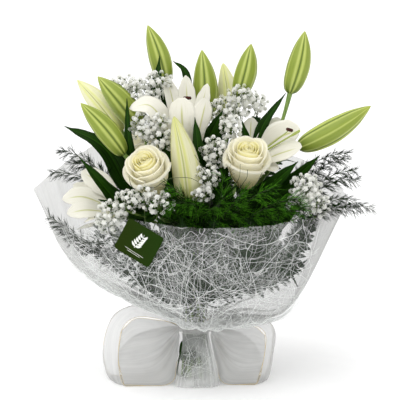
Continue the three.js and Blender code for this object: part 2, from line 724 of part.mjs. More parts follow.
// Plumes of asparagus fern: each a flat feathery blade from the stem's top, through its points, to a tip.
const FERNS = {
  fern_left: [slot("outer", 180), [-86, -14, 228], [-0.8, -0.1, 1], [
    { points: [[-122, -26, 280], [-170, -24, 306]], width: 28 },
    { points: [[-126, -2, 258], [-184, -6, 274]], width: 24 },
  ]],
  fern_left_low: [slot("notch", 210), [-84, -50, 158], [-0.8, -0.4, 0.8], [
    { points: [[-130, -80, 190], [-182, -86, 232]], width: 30 },
    { points: [[-96, -92, 176], [-124, -118, 210]], width: 24 },
  ]],
  fern_front: [slot("notch", 270), [2, -66, 214], [0, -0.3, 1], [
    { points: [[-6, -98, 244], [-22, -112, 268]], width: 28 },
    { points: [[34, -104, 236], [60, -118, 266]], width: 30 },
    { points: [[64, -98, 232], [124, -116, 262]], width: 32 },
  ]],
  fern_right_upper: [slot("outer", 0), [98, 0, 232], [0.7, 0, 1], [
    { points: [[140, -8, 276], [198, 0, 298]], width: 28 },
    { points: [[154, -34, 254], [206, -38, 270]], width: 28 },
  ]],
  fern_right_low: [slot("notch", 330), [104, -58, 178], [0.9, -0.4, 0.9], [
    { points: [[140, -66, 230], [180, -76, 252], [224, -72, 238]], width: 30 },
    { points: [[128, -84, 210], [162, -98, 246]], width: 28 },
  ]],
  fern_back: [slot("outer", 120), [-40, 84, 220], [-0.3, 0.5, 1], [
    { points: [[-64, 116, 280], [-96, 128, 330]], width: 34 },
    { points: [[-10, 118, 290], [-6, 132, 350]], width: 34 },
  ]],
};

// Fronds of leatherleaf fern, low behind the front sheet and at the back.
const LEATHERLEAF = {
  leatherleaf_front_left: [slot("rim", 270), [-14, -56, 104], [-0.2, -0.8, 0.8], [
    { points: [[-40, -90, 138], [-60, -112, 186]], width: 46 },
  ]],
  leatherleaf_front_right: [slot("outer", 300), [44, -66, 116], [0.7, -0.5, 0.6], [
    { points: [[84, -86, 150], [124, -98, 196]], width: 50 },
  ]],
  leatherleaf_back: [slot("outer", 60), [46, 72, 200], [0.4, 0.6, 1], [
    { points: [[70, 112, 262], [84, 130, 326]], width: 50 },
  ]],
};

// ---------------------------------------------------------------- assembly

for (const [name, { make }] of Object.entries(STEMS)) place(name, make, "stem");
place("stem_tie", ring(TIE_R, TIE_THICK, WAIST_LOW + 2, WAIST_HIGH - 2), "twine");

place("wrap_back_sheet", bentSheet(BACK_SHEET, 24, SHEET_ROWS, SHEET_THICK, [600, 400]), "fibre");
place("wrap_front_sheet", bentSheet(FRONT_SHEET, 16, SHEET_ROWS, SHEET_THICK, [400, 340]), "fibre");
place("ribbon_band", ring(BAND_R, BAND_THICK, WAIST_LOW + 1, WAIST_HIGH - 2), "ribbon");
for (const [name, edges] of Object.entries(LOOPS)) {
  place(name, joined([ribbonLoop(...edges), ribbonFan(...FANS[name])]), "ribbon");
}
place("tag_card", tagMaker(TAG.azimuth, TAG.share, TAG.turn, TAG.clear), "card");

for (const [name, bud] of Object.entries(BUDS)) place(name, budMaker(bud), bud.colour);
for (const [name, rose] of Object.entries(ROSES)) place(name, roseMaker(rose), "rose");
for (const [name, bloom] of Object.entries(BLOOMS)) {
  place(name.replace("bloom", "stamens"), stamenMaker(bloom), "stamen");
}
for (const [name, bloom] of Object.entries(BLOOMS)) place(name, bloomMaker(bloom), "lily", { cut: true });
for (const [name, leaf] of Object.entries(LEAVES)) place(name, leafMaker(leaf), "leaf", { cut: true });
for (const [name, parts] of Object.entries(LEATHERLEAF)) place(name, fern(...parts), "fern", { cut: true });
for (const [name, parts] of Object.entries(FERNS)) place(name, fern(...parts), "fern", { cut: true });
for (const [name, parts] of Object.entries(BREATH)) place(name, spray(...parts), "breath", { cut: true });

// The stand: the middle of the whole bouquet's outline comes over the origin.
const extent = new THREE.Box3().setFromObject(bouquet);
const middle = extent.getCenter(new THREE.Vector3());
bouquet.position.set(-middle.x, -middle.y, 0);

export default bouquet;
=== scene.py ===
# %% [markdown]
# # A hand-tied bouquet of lilies, roses, baby's breath and fern
# The imported model gives every stem, flower and sheet its place as a simple solid. This script keeps those
# places and gives each piece its real surface: curled petals, veined leaves, clouds of small florets,
# feathery fern and a collar of white fibre. The script starts by loading that model. The finished bouquet
# keeps its size, but for a few millimetres at the tips of the fern.

# %% Load the frame
import math
import random

import bmesh
import bpy
from mathutils import Matrix, Vector, noise
from mathutils.geometry import interpolate_bezier


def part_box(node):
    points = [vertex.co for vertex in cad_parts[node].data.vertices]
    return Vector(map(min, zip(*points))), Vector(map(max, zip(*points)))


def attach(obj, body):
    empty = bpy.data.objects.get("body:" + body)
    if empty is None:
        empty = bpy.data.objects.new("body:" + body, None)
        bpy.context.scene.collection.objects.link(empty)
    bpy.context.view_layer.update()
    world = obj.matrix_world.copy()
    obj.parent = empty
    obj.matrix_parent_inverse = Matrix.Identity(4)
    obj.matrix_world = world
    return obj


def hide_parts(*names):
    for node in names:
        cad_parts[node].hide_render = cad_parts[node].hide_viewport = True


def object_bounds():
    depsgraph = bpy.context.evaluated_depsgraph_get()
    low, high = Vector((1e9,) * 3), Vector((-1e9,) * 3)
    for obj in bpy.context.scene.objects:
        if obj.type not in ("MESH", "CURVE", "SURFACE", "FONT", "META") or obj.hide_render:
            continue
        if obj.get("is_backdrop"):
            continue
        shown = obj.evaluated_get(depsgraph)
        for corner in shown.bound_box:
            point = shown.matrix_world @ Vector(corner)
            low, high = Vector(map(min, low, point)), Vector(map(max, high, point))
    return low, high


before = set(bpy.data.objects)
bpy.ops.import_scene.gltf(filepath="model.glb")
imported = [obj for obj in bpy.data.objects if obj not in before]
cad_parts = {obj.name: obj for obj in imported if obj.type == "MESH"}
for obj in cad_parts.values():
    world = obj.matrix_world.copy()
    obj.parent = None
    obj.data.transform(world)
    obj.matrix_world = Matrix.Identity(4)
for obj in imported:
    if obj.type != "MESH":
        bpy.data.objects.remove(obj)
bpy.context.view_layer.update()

# %% [markdown]
# ## Where things are
# A florist builds the bunch round one point, where the stems are tied, so every place below is measured in
# millimetres from there: x to the right, y to the back and z up from the table. The tie is a ring, so the
# middle of its box is that axis, and one function turns a place into the frame's metres.

# %% Places
MM = 0.001
tie_low, tie_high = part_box("stem_tie")
NECK = (tie_low + tie_high) / 2
NECK.z = 0


def spot(x, y, z):
    """A place in millimetres from the foot of the tie's axis, as a point of the frame."""
    return NECK + Vector((x, y, z)) * MM


print("the tie's axis stands at", [round(c, 4) for c in NECK[:2]])

# %% [markdown]
# ## The camera and the room
# The photograph looks at the front from a little above, with a long lens that keeps the bouquet's sides
# almost parallel. A long lens is a narrow angle, so the camera stands over two metres away. The room is a
# white table under a white sky of soft light, with one large lamp in front on the left that rounds the buds
# and throws a faint shadow to the right.

# %% Camera
CAMERA_DISTANCE = 2.2
CAMERA_RISE = math.radians(11)
CAMERA_LENS = 152.3  # mm
SENSOR_WIDTH = 36  # mm
CAMERA_TARGET = spot(6.5, 0, 236.4)

camera = bpy.data.objects.new("camera", bpy.data.cameras.new("camera"))
camera.data.lens = CAMERA_LENS
camera.data.sensor_width = SENSOR_WIDTH
to_camera = Vector((0, -math.cos(CAMERA_RISE), math.sin(CAMERA_RISE)))
camera.location = CAMERA_TARGET + to_camera * CAMERA_DISTANCE
camera.rotation_euler = (math.radians(90) - CAMERA_RISE, 0, 0)
bpy.context.scene.collection.objects.link(camera)
bpy.context.scene.camera = camera
print("camera at", [round(c, 3) for c in camera.location])

# %% [markdown]
# ## One way to add a node
# A material is a small network of nodes. Each node has settings, such as a mode, and inputs, which hold a
# value or a link. One function adds any node with both and hands back its output, so a material below reads
# as a list of what it does. The settings that come up most have names. Colours are written as they look on
# a screen, and one function turns them to the linear light that the renderer adds up.

# %% Node and colour helpers
ABSOLUTE, ADD, FRACT = {"operation": "ABSOLUTE"}, {"operation": "ADD"}, {"operation": "FRACT"}
MAXIMUM, MULTIPLY, SUBTRACT = {"operation": "MAXIMUM"}, {"operation": "MULTIPLY"}, {"operation": "SUBTRACT"}
SMOOTH = {"interpolation_type": "SMOOTHSTEP"}  # of a Map Range: value, from low, to high, becomes, becomes
COLOURS = {"data_type": "RGBA"}  # of a Mix: share, colour where it is 0, colour where it is 1


def add(tree, kind, settings=None, *values, output=None, **named):
    """Adds a node and fills its inputs, in order or by name, with values or links. Returns its output."""
    node = tree.nodes.new("ShaderNode" + kind)
    for name, value in (settings or {}).items():
        setattr(node, name, value)
    in_use = [socket for socket in node.inputs if socket.enabled]
    for socket, value in [*zip(in_use, values), *((node.inputs[name], named[name]) for name in named)]:
        if isinstance(value, bpy.types.NodeSocket):
            tree.links.new(value, socket)
        else:
            socket.default_value = value
    return node.outputs[output] if output else next(socket for socket in node.outputs if socket.enabled)


def linear(colour):
    """A colour such as "#8aa040", in linear light, with an alpha of 1."""
    channels = [int(colour[k : k + 2], 16) / 255 for k in (1, 3, 5)]
    return (*[c / 12.92 if c <= 0.04045 else ((c + 0.055) / 1.055) ** 2.4 for c in channels], 1.0)


def painted(tree, first, *layers):
    """The colour `first` with layers over it: each a colour, the value that it follows and, where that is no
    cover from 0 to 1 yet, the two values between which it fades and how much it covers at either."""
    colour = linear(first)
    for tint, value, *limits in layers:
        cover = add(tree, "MapRange", SMOOTH, value, *limits) if limits else value
        colour = add(tree, "Mix", COLOURS, cover, colour, linear(tint))
    return colour


def material(name, **values):
    """A material with a Principled shader, and `values` on its sockets. Returns it, its nodes and shader."""
    made = bpy.data.materials.new(name)
    made.use_nodes = True
    shader = made.node_tree.nodes["Principled BSDF"]
    for key, value in values.items():
        shader.inputs[key.replace("_", " ")].default_value = value
    return made, made.node_tree, shader


def set_finish(tree, shader, colour, relief=None, depth_mm=0.0, through=0.0, glow=None):
    """Gives the shader its colour and relief. A share `through` of the light passes, in the colour glow."""
    tree.links.new(colour, shader.inputs["Base Color"])
    if relief is not None:
        raised = add(tree, "Bump", Height=relief, Distance=depth_mm * MM)
        tree.links.new(raised, shader.inputs["Normal"])
    if through:
        passed = add(tree, "BsdfTranslucent", Color=colour if glow is None else linear(glow))
        surface = add(tree, "MixShader", None, through, shader.outputs[0], passed)
        tree.links.new(surface, tree.nodes["Material Output"].inputs["Surface"])


print("green reads", [round(c, 3) for c in linear("#8aa040")])

# %% [markdown]
# ## The table
# The table is matt white laminate. It could be a plain colour, but a faint mottling, finer than the picture
# shows, keeps it from being one dead value. It is only a stage, so it isn't a piece of the bouquet.

# %% Table
TABLE_REACH = 12  # m, from the middle to each side, so that no edge shows

laminate, tree, shader = material("matt_white_laminate", Roughness=0.9)
place = add(tree, "TexCoord", output="Object")
mottle = add(tree, "TexNoise", Vector=place, Scale=40.0, Detail=2.0)  # patches of 25 mm
set_finish(tree, shader, painted(tree, "#fbfbfb", ("#ffffff", mottle)))

bm = bmesh.new()
bmesh.ops.create_grid(bm, x_segments=1, y_segments=1, size=TABLE_REACH)
table_mesh = bpy.data.meshes.new("table_top")
bm.to_mesh(table_mesh)
bm.free()
table_mesh.materials.append(laminate)
table = bpy.data.objects.new("table_top", table_mesh)
bpy.context.scene.collection.objects.link(table)
table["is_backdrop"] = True
print("table:", [round(side) for side in table.dimensions[:2]], "m")

# %% [markdown]
# ## The light
# A white world lights every side alike, as a light tent does, and alone it would leave the petals flat. One
# lamp that is as wide as a window, high in front on the left, rounds them. It is a sun lamp, because a sun
# lights near and far pieces alike, and its angle is its width.

# %% Light
world = bpy.data.worlds.new("light_tent")
world.use_nodes = True
world.node_tree.nodes["Background"].inputs["Color"].default_value = (1, 1, 1, 1)
world.node_tree.nodes["Background"].inputs["Strength"].default_value = 1.0
bpy.context.scene.world = world
bpy.context.scene.view_settings.view_transform = "Standard"


def soft_lamp(name, heading, height, spread, power):
    """A wide, even lamp: it shines from a compass heading (0 right, 270 front) and a height, in degrees."""
    light = bpy.data.lights.new(name, "SUN")
    light.angle = math.radians(spread)
    light.energy = power
    made = bpy.data.objects.new(name, light)
    turn, rise = math.radians(heading), math.radians(height)
    source = Vector((math.cos(turn) * math.cos(rise), math.sin(turn) * math.cos(rise), math.sin(rise)))
    made.rotation_euler = source.to_track_quat("Z", "Y").to_euler()
    bpy.context.scene.collection.objects.link(made)


soft_lamp("key", heading=232, height=60, spread=60, power=1.15)

# %% [markdown]
# ## Tools for grown shapes
# Nearly everything here is a blade or a strand. A blade, such as a leaf, a tepal or a sheet of ribbon, is a
# flat grid whose points are moved onto a surface, which keeps the grid's UV map, so a vein or a fibre can
# follow it. A strand, such as a stem, a fibre or a needle, is a curve with a round bevel that is turned
# into a mesh. Both follow a smooth line through a few points.

# %% Smooth lines and grids
def smooth_line(points, count):
    """`count` points, evenly shared out, on a smooth line through `points`."""
    knots = [Vector(p) for p in points]
    knots = [2 * knots[0] - knots[1], *knots, 2 * knots[-1] - knots[-2]]
    spans = len(points) - 1
    line = []
    for i in range(count):
        along = i / (count - 1) * spans
        k = min(int(along), spans - 1)
        s = along - k
        a, b, c, d = knots[k : k + 4]
        bend = (2 * a - 5 * b + 4 * c - d) * s**2 + (3 * b - a - 3 * c + d) * s**3
        line.append(0.5 * (2 * b + (c - a) * s + bend))
    return line


def patch(bm, surface, across, along, finish=0):
    """A grid of faces bent to surface(u, v), with u and v from 0 to 1 and kept as its UV map."""
    bm.loops.layers.uv.verify()
    made = bmesh.ops.create_grid(bm, x_segments=across, y_segments=along, size=0.5, calc_uvs=True)["verts"]
    for vertex in made:
        vertex.co = surface(vertex.co.x + 0.5, vertex.co.y + 0.5)
    for face in {f for vertex in made for f in vertex.link_faces}:
        face.material_index = finish
    return made


print("a smooth line's middle:", smooth_line([(0, 0, 0), (1, 0, 0), (2, 1, 0)], 5)[2][:])

# %% [markdown]
# A bouquet has hundreds of needles and stalks in one piece. An object for each would be slow, so the lines of
# a piece go into one curve, and blades and strands are collected in one bmesh. That becomes a piece, which
# rides on the frame and stands for the solid model's piece in its place.

# %% Strands and pieces
def strands(bm, lines, finish=0, roundness=0, capped=False):
    """A round strand along each line, which is (points, radii)."""
    curve = bpy.data.curves.new("strands", "CURVE")
    curve.dimensions = "3D"
    curve.bevel_depth = 1.0
    curve.bevel_resolution = roundness
    curve.use_fill_caps = capped
    for points, radii in lines:
        spline = curve.splines.new("POLY")
        spline.points.add(len(points) - 1)
        spline.points.foreach_set("co", [c for p in points for c in (*p, 1)])
        spline.points.foreach_set("radius", radii)
    holder = bpy.data.objects.new("strands", curve)
    mesh = bpy.data.meshes.new_from_object(holder)
    for face in mesh.polygons:
        face.material_index = finish
    bm.from_mesh(mesh)
    bpy.data.objects.remove(holder)
    bpy.data.curves.remove(curve)
    bpy.data.meshes.remove(mesh)


def taper(start, end, count):
    """`count` radii from start to end."""
    return [start + (end - start) * i / (count - 1) for i in range(count)]


def piece(name, bm, finishes, slot, *nodes, thickness=0.0):
    """Makes the bmesh a piece that rides on the frame, and that stands for `nodes`."""
    mesh = bpy.data.meshes.new(name)
    bm.to_mesh(mesh)
    bm.free()
    mesh.shade_smooth()
    for finish in finishes:
        mesh.materials.append(finish)
    made = bpy.data.objects.new(name, mesh)
    bpy.context.scene.collection.objects.link(made)
    if thickness:
        wall = made.modifiers.new("thickness", "SOLIDIFY")
        wall.thickness = thickness
        wall.offset = 0
    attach(made, "root")
    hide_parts(*nodes)
    print(f"{name}: {len(mesh.polygons)} faces")
    return made


print("a taper of three radii:", taper(1.0, 0.5, 3))

# %% [markdown]
# ## Helpers for patterns that follow a piece
# The grid's UV map runs across a petal and from its base to its tip. A mask that is 1 along a line across
# the petal paints a rib or a groove, and noise that is stretched along the petal gives its fine veins.

# %% Pattern helpers
def petal_place(tree):
    """The share across and the share along a blade, from its own UV map."""
    split = add(tree, "SeparateXYZ", None, add(tree, "TexCoord", output="UV")).node
    return split.outputs["X"], split.outputs["Y"]


def off_middle(tree, value):
    """How far a value is from 0.5, up or down."""
    return add(tree, "Math", ABSOLUTE, add(tree, "Math", SUBTRACT, value, 0.5))


def veins(tree, pitch_across, pitch_along, width, length, detail=2.0):
    """Noise along a blade of width by length, in mm, whose grain is pitch_across by pitch_along mm."""
    scale = (width / pitch_across, length / pitch_along, 1)
    grain = add(tree, "Mapping", Vector=add(tree, "TexCoord", output="UV"), Scale=scale)
    return add(tree, "TexNoise", Vector=grain, Scale=1.0, Detail=detail)


print("veins and midribs follow each petal's own map, where 0.5 is the middle line")

# %% [markdown]
# ## Lily buds
# A lily bud is six tepals folded together, under a waxy cuticle: yellow green, darker at the foot, and paler
# where the bud is about to open. It could be one colour with a shine, but then the grooves would be lost in
# soft light, so light and shade are painted into the skin in layers that follow them: painted shade darkens
# each groove, and painted highlights lighten each midrib and a band beside each groove. Closed buds, the open
# one in front and the pale ones behind have a skin each.

# %% Bud skin
DRY_TIP = "#8a7a3c"


def bud_skin(name, foot, body, tip, groove, rib):
    """Waxy tepals: colour changes from foot to tip, with fine long veins, painted shade in the grooves and
    painted highlights on the midribs and beside the grooves.
    """
    made, tree, shader = material(name, Roughness=0.42, Coat_Weight=0.12, Coat_Roughness=0.35)
    across, along = petal_place(tree)
    from_rib = off_middle(tree, add(tree, "Math", FRACT, add(tree, "Math", MULTIPLY, across, 3.0)))
    grain = veins(tree, 0.9, 14, 90, 90)
    near_groove = add(tree, "MapRange", SMOOTH, from_rib, 0.26, 0.38)
    out_of_groove = add(tree, "MapRange", SMOOTH, from_rib, 0.40, 0.46, 0.75, 0.0)
    # The rib colour is a painted highlight, on a band beside each groove and on each midrib; the groove
    # colour is painted shade in each groove, and it also darkens the fine veins.
    colour = painted(
        tree, foot,
        (body, along, 0.02, 0.35),
        (tip, along, 0.6, 0.97),
        (rib, add(tree, "Math", MULTIPLY, near_groove, out_of_groove)),
        (rib, from_rib, 0.06, 0.01, 0.0, 0.6),
        (groove, from_rib, 0.455, 0.49, 0.0, 0.8),
        (groove, grain, 0.5, 0.75, 0.0, 0.3),
        (DRY_TIP, along, 0.975, 1.0, 0.0, 0.7),
    )
    set_finish(tree, shader, colour, grain, 0.25, through=0.12)
    return made


# The last two colours of each skin are the painted shade of the grooves and the painted highlight of the
# ribs.
GREEN_BUD = bud_skin("waxy_green_tepals", "#60761e", "#8b9c2f", "#b0bc49", "#486018", "#ccd774")
CREAM_BUD = bud_skin("waxy_cream_tepals", "#b4bc66", "#dcdab4", "#d2d488", "#a2aa4c", "#ced070")
PALE_BUD = bud_skin("waxy_pale_tepals", "#c0c668", "#eeecc6", "#e6e8a0", "#b2b850", "#e6e88c")
print("bud skins:", GREEN_BUD.name, CREAM_BUD.name, PALE_BUD.name)

# %% [markdown]
# Three of a bud's tepals show, and they meet in three grooves, with a raised midrib between each two. It
# could be a turned shape with the grooves painted on, but the light on the real bud catches the ribs, so a
# grid is rolled round the axis and its radius dips at each groove. Each bud has its own foot, tip, radius in
# mm and angle of its first groove, and a flower that is about to open has a wider foot.

# %% Bud places
BUD_OUTLINE = [(0.28, 0), (0.6, 0.05), (0.86, 0.17), (0.99, 0.37), (0.95, 0.54), (0.72, 0.74), (0.38, 0.89),
               (0.14, 0.97), (0.02, 1)]
WIDE_FOOT = [(0.28, 0), (0.72, 0.06), (0.95, 0.18), (1, 0.32), (0.93, 0.5), (0.75, 0.68), (0.48, 0.84),
             (0.2, 0.96), (0.02, 1)]
BUDS = {
    "top_left": ((-38, 48, 380), (-62, 60, 458), 14.5, GREEN_BUD, 82),
    "middle_green": ((12, 44, 332), (9, 56, 426), 17, GREEN_BUD, 92),
    "upper_right": ((57, 30, 368), (73, 36, 436), 14.5, GREEN_BUD, 100),
    "tall_right": ((122, 0, 376), (141, 10, 455), 15, GREEN_BUD, 88),
    "far_right": ((132, -30, 310), (223, -32, 364), 16, GREEN_BUD, 35),
    "left_top": ((-70, 2, 330), (-125, 6, 397), 16.5, GREEN_BUD, 95),
    "left_front": ((-90, -36, 303), (-144, -42, 369), 14.5, GREEN_BUD, 80),
    "middle_cream": ((46, 66, 330), (37, 72, 407), 15, PALE_BUD, 95),
    "small_right": ((93, 17, 316), (97, 24, 344), 6, PALE_BUD, 90),
    "left_back": ((-96, 26, 322), (-154, 42, 388), 15, PALE_BUD, 90),
    "front_cream": ((-6, -74, 246), (-26, -62, 355), 18.5, CREAM_BUD, 97),
}
print(len(BUDS), "buds")

# %% Bud shape
BUD_ROWS, BUD_SIDES = 28, 48
GROOVE_DEPTH, GROOVE_WIDTH = 0.13, 0.1  # as shares of the radius and of a third of the way round
RIB_HEIGHT, RIB_WIDTH = 0.035, 0.08
BOW = 0.03  # how far the middle bends aside, as a share of the length


def turned_to(base, tip):
    """The matrix that puts a shape that grows up from the origin at base, pointing at tip, front to front."""
    upward = (tip - base).normalized()
    side = Vector((0, 1, 0)).cross(upward).normalized()
    return Matrix.Translation(base) @ Matrix((side, upward.cross(side), upward)).transposed().to_4x4()


def bud(base, tip, radius, groove_at, shape):
    """A bud from base to tip, with a groove at groove_at degrees round its axis and at each third."""
    base, tip = spot(*base), spot(*tip)
    length = (tip - base).length
    stand = turned_to(base, tip)
    outline = smooth_line([(r, h, 0) for r, h in shape], BUD_ROWS + 1)

    def surface(u, v):
        share, height, _ = outline[round(v * BUD_ROWS)]
        angle = 2 * math.pi * u - math.radians(groove_at)
        from_groove = abs((3 * u + 0.5) % 1 - 0.5)
        open_up = math.sin(math.pi * min(height * 1.15, 1)) ** 0.5
        dip = 1 - GROOVE_DEPTH * math.exp(-((from_groove / GROOVE_WIDTH) ** 2)) * open_up
        rib = RIB_HEIGHT * math.exp(-(((0.5 - from_groove) / RIB_WIDTH) ** 2))
        reach = max(share, 0) * radius * MM * (dip + rib)
        aside = BOW * length * math.sin(math.pi * height)
        return stand @ Vector((reach * math.cos(angle) + aside, reach * math.sin(angle), height * length))

    bm = bmesh.new()
    patch(bm, surface, BUD_SIDES, BUD_ROWS)
    bmesh.ops.remove_doubles(bm, verts=bm.verts, dist=0.02 * MM)
    bmesh.ops.holes_fill(bm, edges=bm.edges, sides=BUD_SIDES + 1)
    bmesh.ops.recalc_face_normals(bm, faces=bm.faces)
    return bm


for name, (base, tip, radius, skin, groove_at) in BUDS.items():
    slot = "bud_green" if skin == GREEN_BUD else "bud_cream"
    shape = WIDE_FOOT if name in ("front_cream", "middle_cream") else BUD_OUTLINE
    piece("bud_" + name, bud(base, tip, radius, groove_at, shape), [skin], slot, "lily_bud_" + name)

# %% [markdown]
# ## Stems
# Lily and rose stems are smooth, round and solid, with fibres under the skin that show as long streaks. A
# noise that is stretched upwards makes those, and the same finish in drier greens does for the wiry stalks.

# %% Stem finish
def fresh_stem(name, pale, dark, gloss):
    """A green stem: smooth skin, darker and lighter along its length where the fibres under it show."""
    made, tree, shader = material(name, Roughness=gloss)
    place = add(tree, "TexCoord", output="Object")
    stretched = add(tree, "Mapping", Vector=place, Scale=(900, 900, 60))  # streaks of 1 mm by 17 mm
    grain = add(tree, "TexNoise", Vector=stretched, Scale=1.0)
    colour = painted(tree, pale, (dark, grain, 0.35, 0.65))
    set_finish(tree, shader, colour, grain, 0.2)
    return made


STEM = fresh_stem("smooth_green_stem", "#7f9a48", "#5c7a30", 0.5)
FINE_STEM = fresh_stem("wiry_green_stalk", "#5f7434", "#3c5220", 0.7)
print("stems:", STEM.name, FINE_STEM.name)

# %% [markdown]
# The stems stand on their cut ends, run straight through the tie and lean out to their flowers. In the tie
# they lie packed as round things pack: one in the middle, six round it, and the thin ones in the gaps. A
# curve between two ends and two directions gives each half of a stem, so these few sums place every stem
# where the solid model has it.

# %% Where the stems run
WAIST_LOW, WAIST_HIGH = 62, 78  # mm up, where the stems are straight
FOOT_SPREAD = 1.65  # how much further from the axis a stem's foot is than its place in the tie
THICK_R, THIN_R, PEDICEL_R = 3.5, 1.3, 2.3
STEM_GAP = 0.5
PITCH = math.sqrt(3) * (THICK_R + THIN_R + STEM_GAP)
INNER = PITCH / math.sqrt(3)
NOTCH = PITCH * math.cos(math.pi / 6) + math.sqrt(INNER**2 - (PITCH / 2) ** 2)
RINGS = {"middle": 0, "thick": PITCH, "inner": INNER, "notch": NOTCH, "rim": PITCH + INNER - 0.3,
         "outer": PITCH + INNER}


def slot_at(ring, degrees):
    """Where a stem stands in the tie, in mm: a ring of the bundle and an angle round it."""
    angle = math.radians(degrees)
    return RINGS[ring] * math.cos(angle), RINGS[ring] * math.sin(angle)


def stem_line(place, end, lean, rise=70, reach=60):
    """The stem's lower part and its upper part, as points in mm: up through the tie, then out to end."""
    x, y = place
    end, lean = Vector(end), Vector(lean).normalized()
    low, high = Vector((x, y, WAIST_LOW)), Vector((x, y, WAIST_HIGH))
    foot = Vector((x * FOOT_SPREAD, y * FOOT_SPREAD, 0))
    third = Vector((0, 0, WAIST_LOW / 3))
    lower = interpolate_bezier(foot, foot + third, low - third, low, 8)
    upper = interpolate_bezier(high, high + Vector((0, 0, rise)), end - lean * reach, end, 41)
    return lower, upper


def at_height(line, height):
    """The point of the upper part at that height, and the way that the stem runs there."""
    k = next(i for i, p in enumerate(line) if p.z >= height or i == len(line) - 2)
    return line[k], (line[k + 1] - line[k - 1]).normalized()


def stalk(start, along, end, lean, reach=0.4, count=12):
    """A stalk that leaves start along one way and comes to end along another, in mm."""
    start, end = Vector(start), Vector(end)
    span = (end - start).length * reach
    along, lean = Vector(along).normalized(), Vector(lean).normalized()
    return interpolate_bezier(start, start + along * span, end - lean * span, end, count)


def in_frame(points):
    """Points in mm, as points of the frame."""
    return [spot(*p) for p in points]


print("ring of thick stems, mm:", round(PITCH, 2))

# %% [markdown]
# A leaf could be a flat outline, but the edges of the large ones turn up and their tips hang. So every leaf
# is one blade: a grid on a curved spine, folded a little along its middle, with a waxy top. Lilies are
# monocots, so their veins run side by side to the tip.

# %% Leaf finish
def leaf_skin(name, dark, light, vein):
    """A waxy leaf: nearly matt in soft light, with veins side by side and a pale middle."""
    made, tree, shader = material(name, Roughness=0.5, Specular_IOR_Level=0.12)
    across, _ = petal_place(tree)
    grain = veins(tree, 1.3, 60, 24, 120, 1.0)
    colour = painted(
        tree, dark,
        (light, grain, 0.35, 0.65),
        (vein, off_middle(tree, across), 0.0, 0.05, 0.6, 0.0),
    )
    set_finish(tree, shader, colour, grain, 0.3, through=0.1)
    return made


LEAF = leaf_skin("waxy_strap_leaf", "#0f2600", "#1d4202", "#30590c")
print("leaf finish:", LEAF.name)

# %% Leaf shape
STRAP_SHAPE = [(0, 0.2), (0.15, 0.6), (0.4, 1.0), (0.65, 0.85), (0.85, 0.45), (1, 0.02)]


def share_of(shape, v):
    """The value of a listed outline at v, joined smoothly."""
    for (a, low), (b, high) in zip(shape, shape[1:]):
        if v <= b:
            s = (v - a) / (b - a)
            return low + (high - low) * s * s * (3 - 2 * s)
    return shape[-1][1]


def blade(bm, points, width, face, shape, rows=20, across=6, cup=0.2, curl=0.0, wave=0.0, finish=0):
    """A blade in mm along points. Its edges rise by cup, its tip bends back by curl, and its edges wave."""
    spine = smooth_line(points, rows + 1)
    face = Vector(face).normalized()
    beat = random.Random(len(points) + round(width * 7 + spine[-1].x)).uniform(0, 6.28)

    def surface(u, v):
        k = round(v * rows)
        tangent = (spine[min(k + 1, rows)] - spine[max(k - 1, 0)]).normalized()
        side = tangent.cross(face).normalized()
        normal = side.cross(tangent).normalized()
        reach = (2 * u - 1) * width / 2 * share_of(shape, v)
        rise = cup * abs(reach) + curl * abs(reach) * max(v - 0.6, 0)
        rise += wave * abs(2 * u - 1) ** 2 * math.sin(v * 9 + beat + (3 if u > 0.5 else 0))
        return spot(*(spine[k] + side * reach + normal * rise))

    return patch(bm, surface, across, rows, finish)


LEAVES = {
    "left_long": ((-63, -6, 215), (-118, -8, 308), (-168, -4, 334), 28),
    "left_low": ((-56, -5, 190), (-98, -62, 246), (-142, -104, 310), 31),
    "left_narrow": ((-64, -6, 225), (-84, -36, 318), (-86, -34, 374), 14),
    "top_left": ((-2, 7, 232), (-50, 18, 352), (-46, 34, 421), 27),
    "top_middle": ((-2, 8, 245), (-11, 43, 392), (-29, 46, 413), 13),
    "middle_front": ((-2, 6, 215), (4, -50, 306), (0, -48, 352), 22),
    "right_upper": ((74, 1, 235), (86, 2, 330), (117, 4, 376), 18),
    "right_front": ((53, 0, 180), (92, -66, 262), (128, -92, 303), 30),
    "right_low": ((58, 0, 195), (118, -46, 264), (156, -76, 308), 26),
}
for name, (start, middle, tip, width) in LEAVES.items():
    bm = bmesh.new()
    between = tuple((a + b) / 2 for a, b in zip(start, middle))
    blade(bm, [start, between, middle, tip], width, (0.1, -0.9, 0.5), STRAP_SHAPE, cup=0.35, wave=1.0)
    piece("leaf_blade_" + name, bm, [LEAF], "leaf", "leaf_" + name, thickness=0.5 * MM)

# %% [markdown]
# ## Lily and rose stems with their stalks
# Each bud and bloom sits on the end of its stalk, so the stalk's line ends at that flower's foot and points
# the way the flower does. So the flowers' places come first: foot and tip for each bloom, and for a rose its
# stem's angle in the tie too. The number with each flower of a lily is the height its stalk leaves the stem.

# %% Flowers and the stems that bear them
BLOOMS = {
    "middle": ((-9, -22, 280), (-7, -6, 396)),
    "right": ((74, -6, 292), (128, -58, 334)),
    "left": ((-92, -52, 232), (-166, -72, 258)),
}
ROSES = {
    "left": ((-49, -77, 258), (-66, -98, 316), 240),
    "right": ((64, -67, 266), (67, -82, 330), 300),
    "back_left": ((-52, 74, 262), (-72, 100, 310), 120),
    "back_right": ((62, 84, 256), (84, 112, 302), 60),
}
LILY_STEMS = {
    "middle": (("middle", 0), (-2, 10, 262), (0, 0.1, 1), [
        (BLOOMS["middle"], 225), (BUDS["front_cream"], 175), (BUDS["top_left"], 250),
        (BUDS["middle_green"], 255), (BUDS["middle_cream"], 240), (BUDS["upper_right"], 258)]),
    "left": (("thick", 180), (-66, -6, 268), (-0.3, 0, 1), [
        (BUDS["left_back"], 240), (BUDS["left_top"], 262), (BUDS["left_front"], 232),
        (BLOOMS["left"], 165)]),
    "right": (("thick", 0), (84, 2, 264), (0.35, 0, 1), [
        (BUDS["tall_right"], 262), (BUDS["far_right"], 225), (BUDS["small_right"], 255),
        (BLOOMS["right"], 205)]),
}


